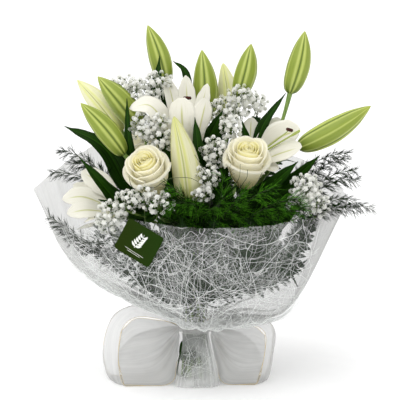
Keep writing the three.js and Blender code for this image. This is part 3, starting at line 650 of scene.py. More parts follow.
def stem_bmesh(place, end, lean, radius, rise=70, reach=60):
    """A stem as a bmesh, and the points of its upper part."""
    bm = bmesh.new()
    lower, upper = stem_line(place, end, lean, rise, reach)
    line = in_frame(lower + upper)
    strands(bm, [(line, [radius * MM] * len(line))], roundness=3, capped=True)
    return bm, upper


print(len(BLOOMS), "lilies,", len(ROSES), "roses")

# %% [markdown]
# Large leaves fill the bunch between the flowers and behind the open web, where they are most of the dark
# green that shows. Each leaves its stem at a height and passes a point on its way to its tip. A few were left
# on the stem under the tie and hang down inside the tail.

# %% Leaves inside the bunch
# For each stem: the height where a leaf starts, a point on its way, its tip and its width.
INNER_LEAVES = {
    "middle": [
        (240, (-40, 2, 322), (-66, 2, 374), 26), (240, (-30, 14, 330), (-40, 18, 396), 24),
        (245, (20, -6, 322), (36, -14, 356), 24), (238, (30, 14, 322), (62, 12, 352), 26),
        (235, (-28, -30, 290), (-50, -46, 334), 24), (235, (18, -40, 280), (32, -60, 318), 22),
        (230, (14, -44, 262), (22, -86, 286), 24), (225, (-22, -44, 258), (-30, -84, 280), 22),
        (222, (8, -52, 240), (2, -80, 272), 30), (222, (22, -50, 238), (34, -84, 270), 30),
        (218, (2, -60, 226), (14, -96, 250), 30), (218, (-10, -60, 226), (-30, -98, 248), 28),
        (190, (-10, -76, 196), (-20, -104, 238), 34), (190, (20, -80, 196), (30, -106, 240), 34),
        (235, (34, -30, 262), (36, -44, 306), 26), (190, (-30, -72, 196), (-48, -102, 236), 34),
        (200, (-6, -76, 214), (-22, -92, 256), 36), (200, (14, -76, 214), (10, -94, 262), 36),
        (200, (34, -72, 214), (42, -94, 262), 36),
        (205, (38, -58, 230), (42, -72, 280), 30), (225, (-26, -42, 250), (-34, -62, 292), 26)],
    "left": [
        (232, (-82, -20, 290), (-112, -28, 330), 24), (215, (-92, -60, 234), (-120, -96, 256), 26),
        (220, (-60, -50, 250), (-70, -100, 262), 24), (180, (-64, -76, 190), (-78, -100, 236), 34),
        (180, (-90, -66, 190), (-112, -86, 232), 34)],
    "right": [
        (232, (68, -10, 300), (60, -18, 344), 24), (215, (50, -50, 240), (40, -96, 262), 24),
        (220, (100, -40, 250), (130, -70, 270), 26), (180, (70, -72, 190), (88, -98, 238), 34),
        (180, (88, -66, 190), (116, -86, 240), 34), (180, (54, -78, 186), (60, -104, 238), 34),
        (200, (56, -68, 214), (74, -94, 258), 36), (200, (78, -60, 214), (104, -88, 260), 36),
        (205, (92, -60, 226), (122, -80, 264), 34), (200, (102, -54, 214), (134, -70, 248), 34),
        (190, (92, -60, 204), (120, -74, 238), 34)],
}
# The same, but with the point itself where the leaf starts.
HANGING_LEAVES = [
    ((-3, -12, 58), (-8, -22, 44), (-8, -27, 20), 15), ((4, -12, 58), (9, -22, 40), (13, -27, 24), 13),
    ((-9, -8, 58), (-15, -18, 42), (-18, -23, 26), 12), ((1, -13, 58), (2, -23, 46), (3, -27, 34), 12)]
print("leaves inside:", sum(len(leaves) for leaves in INNER_LEAVES.values()) + len(HANGING_LEAVES))

# %% [markdown]
# A lily stem bears strap leaves all the way up, each turned from the last by the golden angle, so that no
# leaf shades the next. A loop sets them that way, from above the tie to below the flowers.

# %% Lily stems
STRAP_LEAVES = 30
FIRST_LEAF, LEAF_STEP = 104, 5.4  # mm up the stem
GOLDEN_ANGLE = 2.4
STALK_SWELL = (1.08, 1.25, 1.5)  # a stalk is this much thicker at its last points, under the flower

for name, (ring, crown, lean, flowers) in LILY_STEMS.items():
    chance = random.Random(name)
    bm, upper = stem_bmesh(slot_at(*ring), crown, lean, THICK_R, 90, 40)
    for (base, tip, *_), height in flowers:
        start, along = at_height(upper, height)
        line = in_frame(stalk(start, along, base, Vector(tip) - Vector(base)))
        radii = [PEDICEL_R * MM] * (len(line) - len(STALK_SWELL)) + [c * PEDICEL_R * MM for c in STALK_SWELL]
        strands(bm, [(line, radii)], roundness=2)
    for k in range(STRAP_LEAVES):
        start, along = at_height(upper, FIRST_LEAF + LEAF_STEP * k)
        angle = GOLDEN_ANGLE * k + chance.uniform(-0.3, 0.3)
        out = Vector((math.cos(angle), math.sin(angle), 0))
        length = chance.uniform(48, 70) * min(1, 0.55 + k / 30)
        points = [start, start + out * length * 0.45 + Vector((0, 0, length * 0.35)),
                  start + out * length * 0.85 + Vector((0, 0, length * chance.uniform(0.25, 0.5)))]
        blade(bm, points, 16, (0, 0, 1), STRAP_SHAPE, rows=8, across=4, finish=1)
    for height, middle, tip, width in INNER_LEAVES[name]:
        start, along = at_height(upper, height)
        points = [start, (start + Vector(middle)) / 2, Vector(middle), Vector(tip)]
        blade(bm, points, width, (0.1, -0.8, 0.6), STRAP_SHAPE, rows=14, across=4, cup=0.3, finish=1)
    for start, middle, tip, width in HANGING_LEAVES if name == "middle" else ():
        points = [Vector(start), Vector(middle), Vector(tip)]
        blade(bm, points, width, (0, -1, 0.2), STRAP_SHAPE, rows=12, across=4, cup=0.3, finish=1)
    piece("stem_lily_" + name, bm, [STEM, LEAF], "stem", "lily_stem_" + name)

# %% [markdown]
# A rose's leaf is a stalk with two pairs of leaflets and one at its end, and every leaflet is the same blade
# with an oval outline. Under the head the stem swells into a green cup, from which five sepals hang.

# %% A rose's leaf
OVATE = [(0, 0.25), (0.2, 0.85), (0.42, 1.0), (0.7, 0.7), (0.9, 0.3), (1, 0.02)]
LEAF_FACE = (0, -0.2, 1)
PAIRS = ((5, 0.32), (9, 0.37))  # where on the stalk a pair sits, of 14 points, and its share of the size


def rose_leaf(bm, start, out, size):
    """A rose's leaf in mm: a stalk that arches out from the stem, with leaflets along it and at its end."""
    rise = Vector((0, 0, 1))
    tip = start + out * size * 0.62 + rise * size * 0.12
    line = smooth_line([start, start + out * size * 0.3 + rise * size * 0.16, tip], 14)
    strands(bm, [(in_frame(line), taper(0.8 * MM, 0.5 * MM, 14))], roundness=1)
    for k, reach in PAIRS:
        for sign in (-1, 1):
            side = out.cross(rise) * sign
            ends = [line[k], line[k] + (side * 0.5 + out * 0.25) * size * reach,
                    line[k] + (side + out * 0.45) * size * reach - rise * size * 0.06]
            blade(bm, ends, 0.24 * size, LEAF_FACE, OVATE, rows=8, across=4, finish=1)
    ends = [tip, tip + out * size * 0.2 - rise * 2, tip + out * size * 0.4 - rise * size * 0.1]
    blade(bm, ends, 0.28 * size, LEAF_FACE, OVATE, rows=8, across=4, finish=1)


print("leaflets on a rose's leaf:", 2 * len(PAIRS) + 1)

# %% Rose stems
# Each leaf: its height on the stem, how far it is turned from the stem's own angle, and its size.
ROSE_LEAVES = [(128, -70, 62), (150, 60, 62), (170, 0, 62), (190, -45, 54), (208, 45, 54), (224, 5, 54)]
CUP_HEIGHTS, CUP_RADII = (-6, -3, -1, 1, 3), (3.5, 5, 6.3, 6.5, 5)
SEPALS, SEPAL_WIDTH = 5, 7

for name, (base, tip, degrees) in ROSES.items():
    way = (Vector(tip) - Vector(base)).normalized()
    bm, upper = stem_bmesh(slot_at("thick", degrees), base, way, THICK_R, 80, 50)
    for height, turn, size in ROSE_LEAVES:
        start, along = at_height(upper, height)
        angle = math.radians(degrees + turn)
        rose_leaf(bm, start, Vector((math.cos(angle), math.sin(angle), 0)), size)
    cup = in_frame([Vector(base) + way * h for h in CUP_HEIGHTS])
    strands(bm, [(cup, [r * MM for r in CUP_RADII])], roundness=3)
    foot = Vector(base) - way
    side = way.orthogonal().normalized()
    for k in range(SEPALS):
        out = Matrix.Rotation(2 * math.pi * k / SEPALS, 3, way) @ side
        points = [foot + out * 5, foot + out * 12 + way * 2, foot + out * 19 - way * 6,
                  foot + out * 22 - way * 16]
        blade(bm, points, SEPAL_WIDTH, way, STRAP_SHAPE, rows=8, across=4, finish=1)
    piece("stem_rose_" + name, bm, [STEM, LEAF], "stem", "rose_stem_" + name)

# %% [markdown]
# ## Open lilies
# A lily's tepal is satin white, with fine long veins and a yellow green midrib that fades towards the tip,
# and it is thin enough for light to come through. It could be plain white, but the midribs are what draws
# the flower's shape in soft light. The filaments are pale green, and the anthers are dusty with pollen.

# %% Lily finishes
TEPAL, tree, shader = material("satin_white_tepal", Roughness=0.5)
across, along = petal_place(tree)
grain = veins(tree, 1.4, 40, 28, 110)
near_rib = add(tree, "MapRange", SMOOTH, off_middle(tree, across), 0.0, 0.06, 1.0, 0.0)
fading = add(tree, "MapRange", SMOOTH, along, 0.75, 0.95, 0.85, 0.0)
colour = painted(
    tree, "#d6d896",
    ("#f5f3e8", along, 0.05, 0.4),
    ("#dedcc4", grain, 0.5, 0.8, 0.0, 0.4),
    ("#c9cb78", add(tree, "Math", MULTIPLY, near_rib, fading)),
)
set_finish(tree, shader, colour, grain, 0.4, through=0.25)


def speckled(name, low, high, roughness, through=0.0, glow=None):
    """A matt grown surface whose colour varies in specks of about 1 mm."""
    made, tree, shader = material(name, Roughness=roughness)
    specks = add(tree, "TexNoise", Vector=add(tree, "TexCoord", output="Object"), Scale=900.0, Detail=1.0)
    colour = painted(tree, low, (high, specks, 0.35, 0.65))
    set_finish(tree, shader, colour, specks, 0.3, through, glow)
    return made


FILAMENT = speckled("pale_green_filament", "#93a548", "#b3bf6c", 0.5)
ANTHER = speckled("brown_pollen", "#2a0c06", "#4a1a0c", 0.9)
print("lily finishes:", TEPAL.name, FILAMENT.name, ANTHER.name)

# %% [markdown]
# An open lily has six tepals that are joined at the foot in a trumpet and curl back at their tips. One tepal
# could be turned about the axis five times, but no two of them lie alike, so each is one blade through points
# of its own. The tepal in front is folded over, so it ends in the blunt outline of the fold.

# %% Tepals
TEPAL_SHAPE = [(0, 0.3), (0.3, 0.58), (0.6, 1.0), (0.8, 0.9), (0.94, 0.52), (1, 0.04)]
BLUNT_SHAPE = [(0, 0.3), (0.3, 0.6), (0.6, 0.95), (0.8, 1.0), (0.92, 0.8), (1, 0.25)]
# Each tepal: the points it passes after the flower's foot, the way its inner side looks, its width and, for
# one whose tip is folded out of sight, a blunt outline.
TEPALS = {
    "middle": [
        ([(-19, -8, 320), (-28, 4, 362), (-37, 14, 398)], (0.6, -0.8, 0.1), 24),
        ([(-8, -6, 325), (-10, 10, 362), (-12, 18, 397)], (0, -1, 0.2), 25),
        ([(3, -8, 322), (9, -2, 358), (16, 4, 388)], (-0.5, -0.8, 0.1), 23),
        ([(-13, -36, 316), (-16, -43, 346), (-17, -42, 376)], (0.1, 1, 0.3), 34, BLUNT_SHAPE),
        ([(3, -34, 316), (7, -39, 340), (11, -38, 358), (15, -34, 375)], (-0.45, 0.85, 0.2), 30),
        ([(-27, -27, 316), (-40, -30, 343), (-58, -34, 365), (-83, -34, 361)], (0.1, -0.75, 0.7), 28),
    ],
    "right": [
        ([(90, -10, 306), (112, -22, 324), (134, -36, 334)], (-0.1, -0.9, 0.45), 40),
        ([(88, -26, 294), (110, -48, 306), (134, -66, 317)], (-0.2, -0.6, 0.8), 38),
        ([(78, -26, 290), (90, -54, 290), (98, -78, 288)], (0.2, -0.4, 0.9), 30),
        ([(72, -1, 312), (72, 5, 330), (73, 6, 344)], (0.1, -1, 0.2), 22),
        ([(88, 3, 308), (104, 5, 326), (120, 2, 335)], (0, -0.9, 0.45), 35),
        ([(76, -22, 304), (80, -38, 312), (82, -54, 320)], (0.7, 0.2, 0.6), 24),
    ],
    "left": [
        ([(-116, -56, 242), (-142, -60, 252), (-167, -66, 250)], (0.1, -0.8, 0.6), 27),
        ([(-114, -64, 234), (-138, -76, 238), (-160, -84, 235)], (0, -0.7, 0.7), 27),
        ([(-104, -48, 252), (-124, -46, 270), (-144, -46, 282)], (0.3, -0.9, 0.2), 29),
        ([(-110, -40, 240), (-134, -34, 252), (-156, -30, 262)], (0.2, -0.9, 0.3), 24),
        ([(-104, -70, 226), (-122, -84, 230), (-138, -92, 226)], (0, 0.1, 1), 22),
        ([(-108, -60, 222), (-130, -70, 216), (-148, -78, 214)], (0, 0.2, 1), 24),
    ],
}
for name, (base, _) in BLOOMS.items():
    foot = Vector(base)
    bm = bmesh.new()
    for points, inner, width, *outline in TEPALS[name]:
        shape = outline[0] if outline else TEPAL_SHAPE
        blade(bm, [foot, *points], width, inner, shape, rows=26, across=10, cup=0.25, curl=-0.5, wave=0.8)
    piece("bloom_lily_" + name, bm, [TEPAL], "lily_petal", "lily_bloom_" + name, thickness=0.6 * MM)

# %% [markdown]
# Six stamens and a pistil stand in the trumpet. An anther hangs across the end of its filament, as on a
# hinge, so it is a short strand of its own. Most filaments end short of the mouth, where tepals hide them.

# %% Pistils and stamens
# Each flower's pistil, as a share of its length, and its filaments: that share, and how far out and which way
# round from the front they end, in mm and degrees.
STAMENS = {
    "middle": (0.55, [(0.785, 17, 352), (0.3, 4, 80), (0.32, 4, 140), (0.3, 4, 200), (0.3, 4, 260),
                      (0.32, 4, 320)]),
    "right": (1.06, [(0.86, 9, 225), (0.2, 3, 40), (0.2, 3, 100), (0.22, 3, 160), (0.2, 3, 280),
                     (0.22, 3, 340)]),
    "left": (0.3, [(0.22, 3, 20), (0.2, 3, 80), (0.22, 3, 140), (0.2, 3, 200), (0.22, 3, 260),
                   (0.2, 3, 320)]),
}
ANTHER_ALONG, ANTHER_RADII = (-5.5, -4.4, 0, 4.4, 5.5), (0.7, 2.0, 2.3, 2.0, 0.7)

for name, (base, tip) in BLOOMS.items():
    foot = Vector(base)
    bm = bmesh.new()
    way = Vector(tip) - foot
    length = way.length
    way.normalize()
    front = Vector((0, -1, 0))
    side = (front - way * way.dot(front)).normalized()
    pistil, filaments = STAMENS[name]
    style = smooth_line([foot + way * 10, foot + way * 0.5 * length, foot + way * pistil * length], 12)
    strands(bm, [(in_frame(style), [1.1 * MM] * 10 + [1.9 * MM, 1.6 * MM])], roundness=2, capped=True)
    for share, away, turn in filaments:
        out = Matrix.Rotation(math.radians(turn), 3, way) @ side
        end = foot + way * share * length + out * away
        middle = foot + way * 0.5 * share * length + out * away * 0.45
        filament = in_frame(smooth_line([foot + way * 10 + out * 2, middle, end], 10))
        strands(bm, [(filament, taper(0.9 * MM, 0.6 * MM, 10))], roundness=1)
        across_end = out.cross(way).normalized()
        anther = in_frame([end + across_end * h for h in ANTHER_ALONG])
        strands(bm, [(anther, [r * MM for r in ANTHER_RADII])], 1, roundness=2, capped=True)
    piece("stamens_" + name, bm, [FILAMENT, ANTHER], "stamen", "lily_stamens_" + name)

# %% [markdown]
# ## Roses
# A rose's petals are cream white, the inner ones with a yellow heart, and they look like velvet because their
# skin is covered in tiny bumps that catch light at a glancing angle. A shader's sheen does that without
# modelling the bumps. Thin as they are, much of the light passes from one petal into the next.

# %% Rose finishes
def velvet_petal(name, foot, body, rim):
    """A velvety petal: deeper in colour at its foot and in its veins, with a paler rim."""
    made, tree, shader = material(name, Roughness=0.65, Sheen_Weight=0.25, Sheen_Roughness=0.4)
    _, along = petal_place(tree)
    grain = veins(tree, 2.2, 18, 45, 50)
    colour = painted(
        tree, foot,
        (body, along, 0.1, 0.75),
        (foot, grain, 0.5, 0.8, 0.0, 0.35),
        (rim, along, 0.955, 1.0, 0.0, 0.75),
    )
    set_finish(tree, shader, colour, grain, 0.35, through=0.65)
    return made


ROSE_HEART = velvet_petal("velvety_yellow_cream_petal", "#fbf4c4", "#fefbdc", "#fffce6")
ROSE_OUTER = velvet_petal("velvety_cream_petal", "#faf5d2", "#fffdf2", "#fffdf4")
print("rose finishes:", ROSE_HEART.name, ROSE_OUTER.name)

# %% [markdown]
# A rose head is a spiral of petals, each wrapped round the ones inside it. The inner ones stand nearly
# upright and hide the heart, and the outer ones open and roll their rims back. One function bends a petal
# round the head's axis from a few values, and rings of it, inside to outside, make the head. The heads nod:
# their axis bends forwards in an arc, so that the heart looks at whoever holds the bunch.

# %% Rose petals
# Each ring: how many petals, their distance from the axis, the height of their rims and the angle each wraps,
# how far the rim rolls outwards and how far it droops, all in mm and degrees, and which finish.
ROSE_RINGS = [
    (2, 2.4, 59, 260, 0.0, 0.0, 0),
    (3, 4.8, 59.6, 225, 0.2, 0.0, 0),
    (3, 7.4, 60, 200, 0.4, 0.1, 0),
    (3, 10.2, 60.4, 180, 0.7, 0.3, 0),
    (3, 13.3, 60.8, 165, 1.2, 0.6, 0),
    (3, 16.5, 61.5, 160, 2.0, 1.2, 1),
    (3, 20.5, 59.5, 150, 4.2, 4.0, 1),
    (3, 24, 52, 145, 6.5, 9.0, 1),
]
RING_TURN = 2.1  # how far each ring is turned from the one inside it, in radians
NOD = math.radians(24)  # how far a rose's face is turned from its foot's direction, towards the front
HEAD_HEIGHT, HEAD_SHIFT = 60, 4
LIP_AT, SLACK_AT = 0.74, 0.72  # the shares of a petal's height where its rim begins and its belly ends


def nodded(x, y, up):
    """The point of an upright rose, in mm, once its axis is bent forwards in an arc."""
    bend = NOD * up / HEAD_HEIGHT
    arc = HEAD_HEIGHT / NOD
    centre = Vector((0, HEAD_SHIFT * up / HEAD_HEIGHT - arc * (1 - math.cos(bend)), arc * math.sin(bend)))
    return centre + Vector((x, y * math.cos(bend), y * math.sin(bend)))


def rose_petal(bm, stand, chance, turn, reach, height, wrap, roll, droop, finish):
    """One petal round the axis that `stand` puts in place."""
    lean = chance.uniform(-0.6, 0.6)
    beat = chance.uniform(0, 6.28)
    height *= chance.uniform(0.97, 1.03)
    wrap = math.radians(wrap * chance.uniform(0.92, 1.08))

    def surface(u, v):
        s = 2 * u - 1
        angle = turn + s * wrap / 2
        belly = 0.28 + 0.72 * math.sin(min(v / SLACK_AT, 1) * math.pi / 2) ** 0.9
        lip = max(v - LIP_AT, 0) / (1 - LIP_AT)
        away = reach * belly + 1.3 * s + roll * lip**1.6 + 0.5 * lip * math.sin(5 * s + beat)
        up = height * v * (1 - 0.16 * abs(s) ** 3 * v) - droop * lip**2.6 + lean * s * v
        away *= 1 - 0.10 * lip if roll < 2 else 1
        return stand @ (nodded(away * math.cos(angle), away * math.sin(angle), up) * MM)

    patch(bm, surface, 16, 18, finish)


for name, (base, tip, _) in ROSES.items():
    chance = random.Random("rose " + name)
    stand = turned_to(spot(*base), spot(*tip))
    bm = bmesh.new()
    start = chance.uniform(0, 6.28)
    for ring, (count, *shape) in enumerate(ROSE_RINGS):
        for k in range(count):
            turn = start + RING_TURN * ring + 2 * math.pi * k / count + chance.uniform(-0.15, 0.15)
            rose_petal(bm, stand, chance, turn, *shape)
    piece("bloom_rose_" + name, bm, [ROSE_HEART, ROSE_OUTER], "rose_petal", "rose_bloom_" + name,
          thickness=0.5 * MM)

# %% [markdown]
# ## Baby's breath
# Baby's breath is a cloud of small double florets, chalky white and thin enough to glow. A floret is repeated
# over a thousand times, so it has only a few dozen faces: three ruffled whorls of petals, which are fans of
# triangles with every other point pulled in, over a green cup. They are drawn about 7 mm across, a little
# larger than most real ones, because smaller ones would blur into grey in a picture of this size.

# %% Floret
FLORET = speckled("chalky_white_floret", "#f8f8f0", "#ffffff", 0.8, through=0.4, glow="#fbfbf4")
FLORET_R = 3.6
PETALS = 5
WHORLS = ((0.96, 0.2, 0.0), (0.96, 0.62, 0.35), (0.64, 1.0, 0.7))  # reach and height, of the radius, and turn
NOTCHED = 0.66  # the share of its reach that a point between two petals keeps


def floret_mesh():
    """One floret that looks up from the origin, in metres."""
    bm = bmesh.new()
    bm.loops.layers.uv.verify()
    size = FLORET_R * MM
    for reach, lift, turn in WHORLS:
        whorl = bmesh.ops.create_circle(bm, cap_ends=True, cap_tris=True, segments=2 * PETALS,
                                        radius=size * reach)["verts"]
        for k, vertex in enumerate(whorl):
            between = k % 2
            vertex.co.xy *= NOTCHED if between else 1.0
            outer = vertex.co.length > 0.1 * size
            vertex.co.z = size * (lift + (0.22 if between else -0.08) * outer)
        bmesh.ops.rotate(bm, verts=whorl, matrix=Matrix.Rotation(turn, 3, "Z"))
    cup = bmesh.ops.create_cone(bm, segments=5, radius1=0.3 * MM, radius2=1.3 * MM, depth=2.2 * MM,
                                matrix=Matrix.Translation((0, 0, 0.2 * MM)))["verts"]
    for face in {f for vertex in cup for f in vertex.link_faces}:
        face.material_index = 1
    mesh = bpy.data.meshes.new("floret")
    bm.to_mesh(mesh)
    bm.free()
    return mesh


def set_in(bm, mesh, stand):
    """Adds a copy of mesh, put in place by the matrix."""
    mesh.transform(stand)
    bm.from_mesh(mesh)
    mesh.transform(stand.inverted())


floret = floret_mesh()
print("one floret:", len(floret.polygons), "faces")

# %% [markdown]
# A spray branches twice: to a knot in each part of a cloud, and from there to each floret. Particles could
# scatter the florets, but then no stalk would reach them. So places are drawn by chance near the cloud's
# skin, none of them too near another, and each gets its floret and its stalk from the nearest knot.

# %% Sprays
# Each spray: where its stem stands, where it ends and how it leans, and its clouds as [centre, radii].
SPRAYS = {
    "upper_left": (("inner", 150), (-56, 10, 340), (-0.3, 0, 1), [
        ((-47, 8, 388), (19, 13, 14)), ((-72, 6, 376), (18, 13, 17)), ((-91, 14, 384), (16, 11, 13)),
        ((-58, -14, 368), (12, 9, 12))]),
    "left": (("inner", 210), (-46, -32, 298), (-0.2, -0.2, 1), [
        ((-64, -36, 338), (18, 13, 18)), ((-43, -42, 324), (17, 13, 16)), ((-44, -40, 346), (12, 10, 10))]),
    "right": (("inner", 30), (44, 14, 318), (0.2, 0, 1), [
        ((58, 4, 372), (17, 12, 13)), ((38, 4, 354), (17, 12, 16)), ((78, 14, 362), (16, 12, 15)),
        ((52, -4, 350), (14, 10, 12))]),
    "middle": (("inner", 270), (16, -50, 262), (0.2, -0.3, 1), [
        ((26, -58, 311), (17, 12, 20)), ((17, -84, 282), (15, 12, 15)), ((46, -36, 338), (14, 11, 16)),
        ((10, -100, 262), (13, 9, 9))]),
    "right_low": (("inner", 330), (84, -50, 214), (0.6, -0.4, 1), [
        ((138, -84, 270), (18, 13, 17)), ((152, -92, 250), (17, 12, 15)), ((130, -92, 248), (14, 10, 12))]),
    "left_low": (("outer", 240), (-56, -94, 196), (-0.4, -0.4, 1), [
        ((-104, -116, 238), (19, 11, 20)), ((-84, -118, 256), (16, 10, 13)), ((-46, -120, 256), (20, 10, 13)),
        ((-62, -116, 268), (13, 8, 8))]),
    "back": (("inner", 90), (-4, 62, 300), (0, 0.2, 1), [
        ((-8, 92, 352), (20, 15, 18)), ((-44, 84, 360), (18, 14, 16)), ((30, 98, 340), (18, 14, 16)),
        ((10, 80, 372), (14, 12, 12))]),
}
SPACING = 5.7  # mm between neighbouring florets
KNOTS = 7  # in a cloud
CROWDING = 6.4  # mm2 of a cloud's front to a floret
print("clouds:", sum(len(clouds) for *_, clouds in SPRAYS.values()))


def any_way(chance):
    """A direction drawn by chance, each as likely as the next."""
    return Vector((chance.gauss(0, 1), chance.gauss(0, 1), chance.gauss(0, 1))).normalized()


def cloud_places(chance, radii, wanted):
    """Places in an ellipsoid, most of them near its skin, no two nearer than the spacing."""
    found = []
    for _ in range(wanted * 12):
        way = any_way(chance)
        depth = chance.uniform(0.25, 1) ** 0.5
        p = Vector(a * b for a, b in zip(way, radii)) * depth
        if all((p - q).length > SPACING for q in found):
            found.append(p)
        if len(found) == wanted:
            break
    return found


def stalk_strand(start, along, end, lean, reach, count, thick, thin):
    """A stalk as a strand, tapered from one radius in mm to another."""
    line = in_frame(stalk(start, along, end, lean, reach, count))
    return line, taper(thick * MM, thin * MM, len(line))


def cloud(bm, chance, fork, along, centre, radii):
    """A cloud of florets whose branch leaves the stem at fork."""
    centre = Vector(centre)
    rise = Vector((0, 0, 1))
    foot = centre - rise * (radii[2] * 0.8)
    lines = [stalk_strand(fork, along, foot, rise, 0.3, 12, 0.7, 0.45)]
    knots = [centre + p * 0.55 for p in cloud_places(chance, radii, KNOTS)]
    lines += [stalk_strand(foot, rise, p, p - foot, 0.3, 6, 0.4, 0.28) for p in knots]
    heads = cloud_places(chance, radii, round(radii[0] * radii[2] / CROWDING))
    for head in heads:
        head = head + centre
        knot = min(knots, key=lambda k: (k - head).length)
        way = (head - knot).normalized() + Vector((0, -0.25, 0.45))
        lines.append(stalk_strand(knot, rise, head, way, 0.3, 5, 0.26, 0.2))
        size = chance.uniform(0.75, 1.3)
        turned = rise.rotation_difference(way.normalized()).to_matrix().to_4x4()
        spin = Matrix.Rotation(chance.uniform(0, 6.28), 4, "Z")
        set_in(bm, floret, Matrix.Translation(spot(*head)) @ turned @ spin @ Matrix.Scale(size, 4))
    strands(bm, lines, 1)
    return len(heads)


def filler_stem(bm, place, hub, lean):
    """The thin stem of a filler, and where its branches leave it: the point and the way it runs there."""
    lower, upper = stem_line(place, hub, lean)
    line = in_frame(lower + upper)
    strands(bm, [(line, taper(THIN_R * MM, 0.8 * MM, len(line)))], 1, roundness=1, capped=True)
    return at_height(upper, hub[2] - 6)


for name, (ring, hub, lean, clouds) in SPRAYS.items():
    chance = random.Random("spray " + name)
    bm = bmesh.new()
    fork, along = filler_stem(bm, slot_at(*ring), hub, lean)
    count = sum(cloud(bm, chance, fork, along, centre, radii) for centre, radii in clouds)
    piece("spray_" + name, bm, [FLORET, FINE_STEM], "babys_breath", "breath_" + name)
    print(count, "florets")
bpy.data.meshes.remove(floret)

# %% [markdown]
# ## Asparagus fern
# Asparagus fern has no flat leaves. Its green is a plume of wiry branchlets, each set with tufts of fine
# needles. The plumes at the front are bright green, and the wisps at the sides are nearly black green. That
# near-black finish is also painted shade on every other branchlet of the front plumes, so they look deep.
# Both finishes vary in patches of the size of a tuft, because a tuft grows and fades together.

# %% Fern finishes
def needle_skin(name, dark, light):
    """Fine matt needles, in tufts of two greens."""
    made, tree, shader = material(name, Roughness=0.8, Specular_IOR_Level=0.05)
    place = add(tree, "TexCoord", output="Object")
    tufts = add(tree, "TexNoise", Vector=place, Scale=260.0, Detail=2.0)  # patches of 4 mm
    colour = painted(tree, dark, (light, tufts, 0.3, 0.7))
    set_finish(tree, shader, colour, through=0.15)
    return made


FERN_FRONT = needle_skin("soft_green_needles", "#1c4c08", "#5a9a26")
# A near-black green: the finish of the side wisps, and painted shade on every other branchlet of the front
# plumes.
FERN_DARK_AND_SHADE = needle_skin("dark_green_needles", "#081602", "#16300a")
FERN_RIB = fresh_stem("wiry_fern_rib", "#3a4c20", "#26381a", 0.6)
print("fern finishes:", FERN_FRONT.name, FERN_DARK_AND_SHADE.name, FERN_RIB.name)

# %% [markdown]
# A plume could be a flat card with a painted pattern, but it must stay loose from every side, so each needle
# is a strand of its own. The branchlets leave the rib in a spiral that is flattened to the plume's plane,
# sweep along with it and droop a little under their weight. Real needles are thinner than half a millimetre.
# These are about as thin, but longer and fewer, which reads the same from two metres.

# %% Fern places
# Each fern: where its stem stands, where that ends and leans, 1 if it is dark, and its plumes as [points on
# the way to the tip, width].
FERNS = {
    "left": (("outer", 180), (-86, -14, 228), (-0.8, -0.1, 1), 1, [
        ([(-122, -26, 280), (-150, -26, 299), (-170, -24, 306)], 28),
        ([(-126, -2, 258), (-158, -5, 271), (-184, -6, 274)], 26),
        ([(-112, -12, 268), (-136, -14, 284), (-158, -16, 288)], 30)]),
    "left_low": (("notch", 210), (-84, -50, 158), (-0.8, -0.4, 0.8), 1, [
        ([(-130, -80, 190), (-158, -84, 214), (-182, -86, 232)], 30),
        ([(-96, -92, 176), (-112, -106, 196), (-124, -118, 210)], 24),
        ([(-118, -78, 182), (-146, -82, 200), (-168, -84, 218)], 30)]),
    "front": (("notch", 270), (2, -66, 214), (0, -0.3, 1), 0, [
        ([(-6, -98, 244), (-16, -110, 262), (-30, -112, 276)], 34),
        ([(34, -104, 236), (48, -114, 254), (60, -118, 268)], 38),
        ([(64, -98, 232), (96, -110, 252), (126, -116, 262)], 38),
        ([(48, -96, 236), (72, -112, 262), (96, -116, 274)], 36),
        ([(10, -96, 236), (26, -112, 250), (36, -118, 262)], 34),
        ([(-20, -84, 232), (-34, -98, 246), (-46, -108, 250)], 30),
        ([(84, -84, 226), (108, -98, 240), (132, -104, 246)], 36),
        ([(-2, -100, 240), (-12, -118, 256), (-26, -124, 256)], 30),
        ([(2, -100, 238), (0, -120, 254), (-6, -126, 256)], 28),
        ([(30, -92, 240), (33, -100, 264), (36, -104, 286)], 26)]),
    "right_upper": (("outer", 0), (98, 0, 232), (0.7, 0, 1), 1, [
        ([(140, -8, 276), (172, -2, 294), (198, 0, 298)], 30),
        ([(150, -14, 268), (172, -16, 288), (192, -18, 294)], 32),
        ([(156, -24, 260), (182, -26, 276), (204, -26, 280)], 30),
        ([(154, -34, 254), (182, -38, 268), (206, -38, 270)], 30)]),
    "right_low": (("notch", 330), (104, -58, 178), (0.9, -0.4, 0.9), 1, [
        ([(140, -66, 230), (180, -76, 252), (222, -72, 240)], 34),
        ([(144, -66, 226), (176, -74, 240), (204, -74, 240)], 32),
        ([(128, -84, 210), (148, -94, 232), (168, -98, 250)], 30)]),
    "back": (("outer", 120), (-40, 84, 220), (-0.3, 0.5, 1), 1, [
        ([(-64, 116, 280), (-82, 126, 306), (-96, 128, 330)], 34),
        ([(-10, 118, 290), (-8, 128, 320), (-6, 132, 350)], 34)]),
}

# Old branchlets of the front fern that have lost their needles and curl up over the roses.
TWIGS = [
    [(-56, -110, 269), (-47, -113, 275), (-31, -113, 285), (-8, -112, 286), (4, -110, 281)],
    [(-70, -108, 268), (-78, -112, 276), (-81, -112, 288)],
    [(22, -104, 268), (18, -110, 286), (9, -110, 300), (0, -108, 314)],
    [(50, -108, 276), (55, -112, 288), (56, -112, 303)],
    [(58, -108, 276), (64, -112, 286), (65, -112, 296)],
    [(72, -108, 272), (78, -112, 282), (83, -112, 293)],
    [(40, -108, 272), (46, -110, 280), (43, -110, 292)],
]
print("plumes:", sum(len(row[-1]) for row in FERNS.values()))

# %% Plumes
# In mm, the pitch of branchlets, the needles in a tuft, their length and radius, then how far they hang and
# how far branchlets sweep along the rib.
DARK_PLUME = (2.7, 3, 10.5, 0.22, 0.1, 0.75)
FRONT_PLUME = (2.0, 2, 16, 0.25, 0.12, 0.85)
BARE_FOOT = 0.22  # the share of a plume's rib that has no branchlets
SPIRAL = 137.5  # degrees from one branchlet to the next


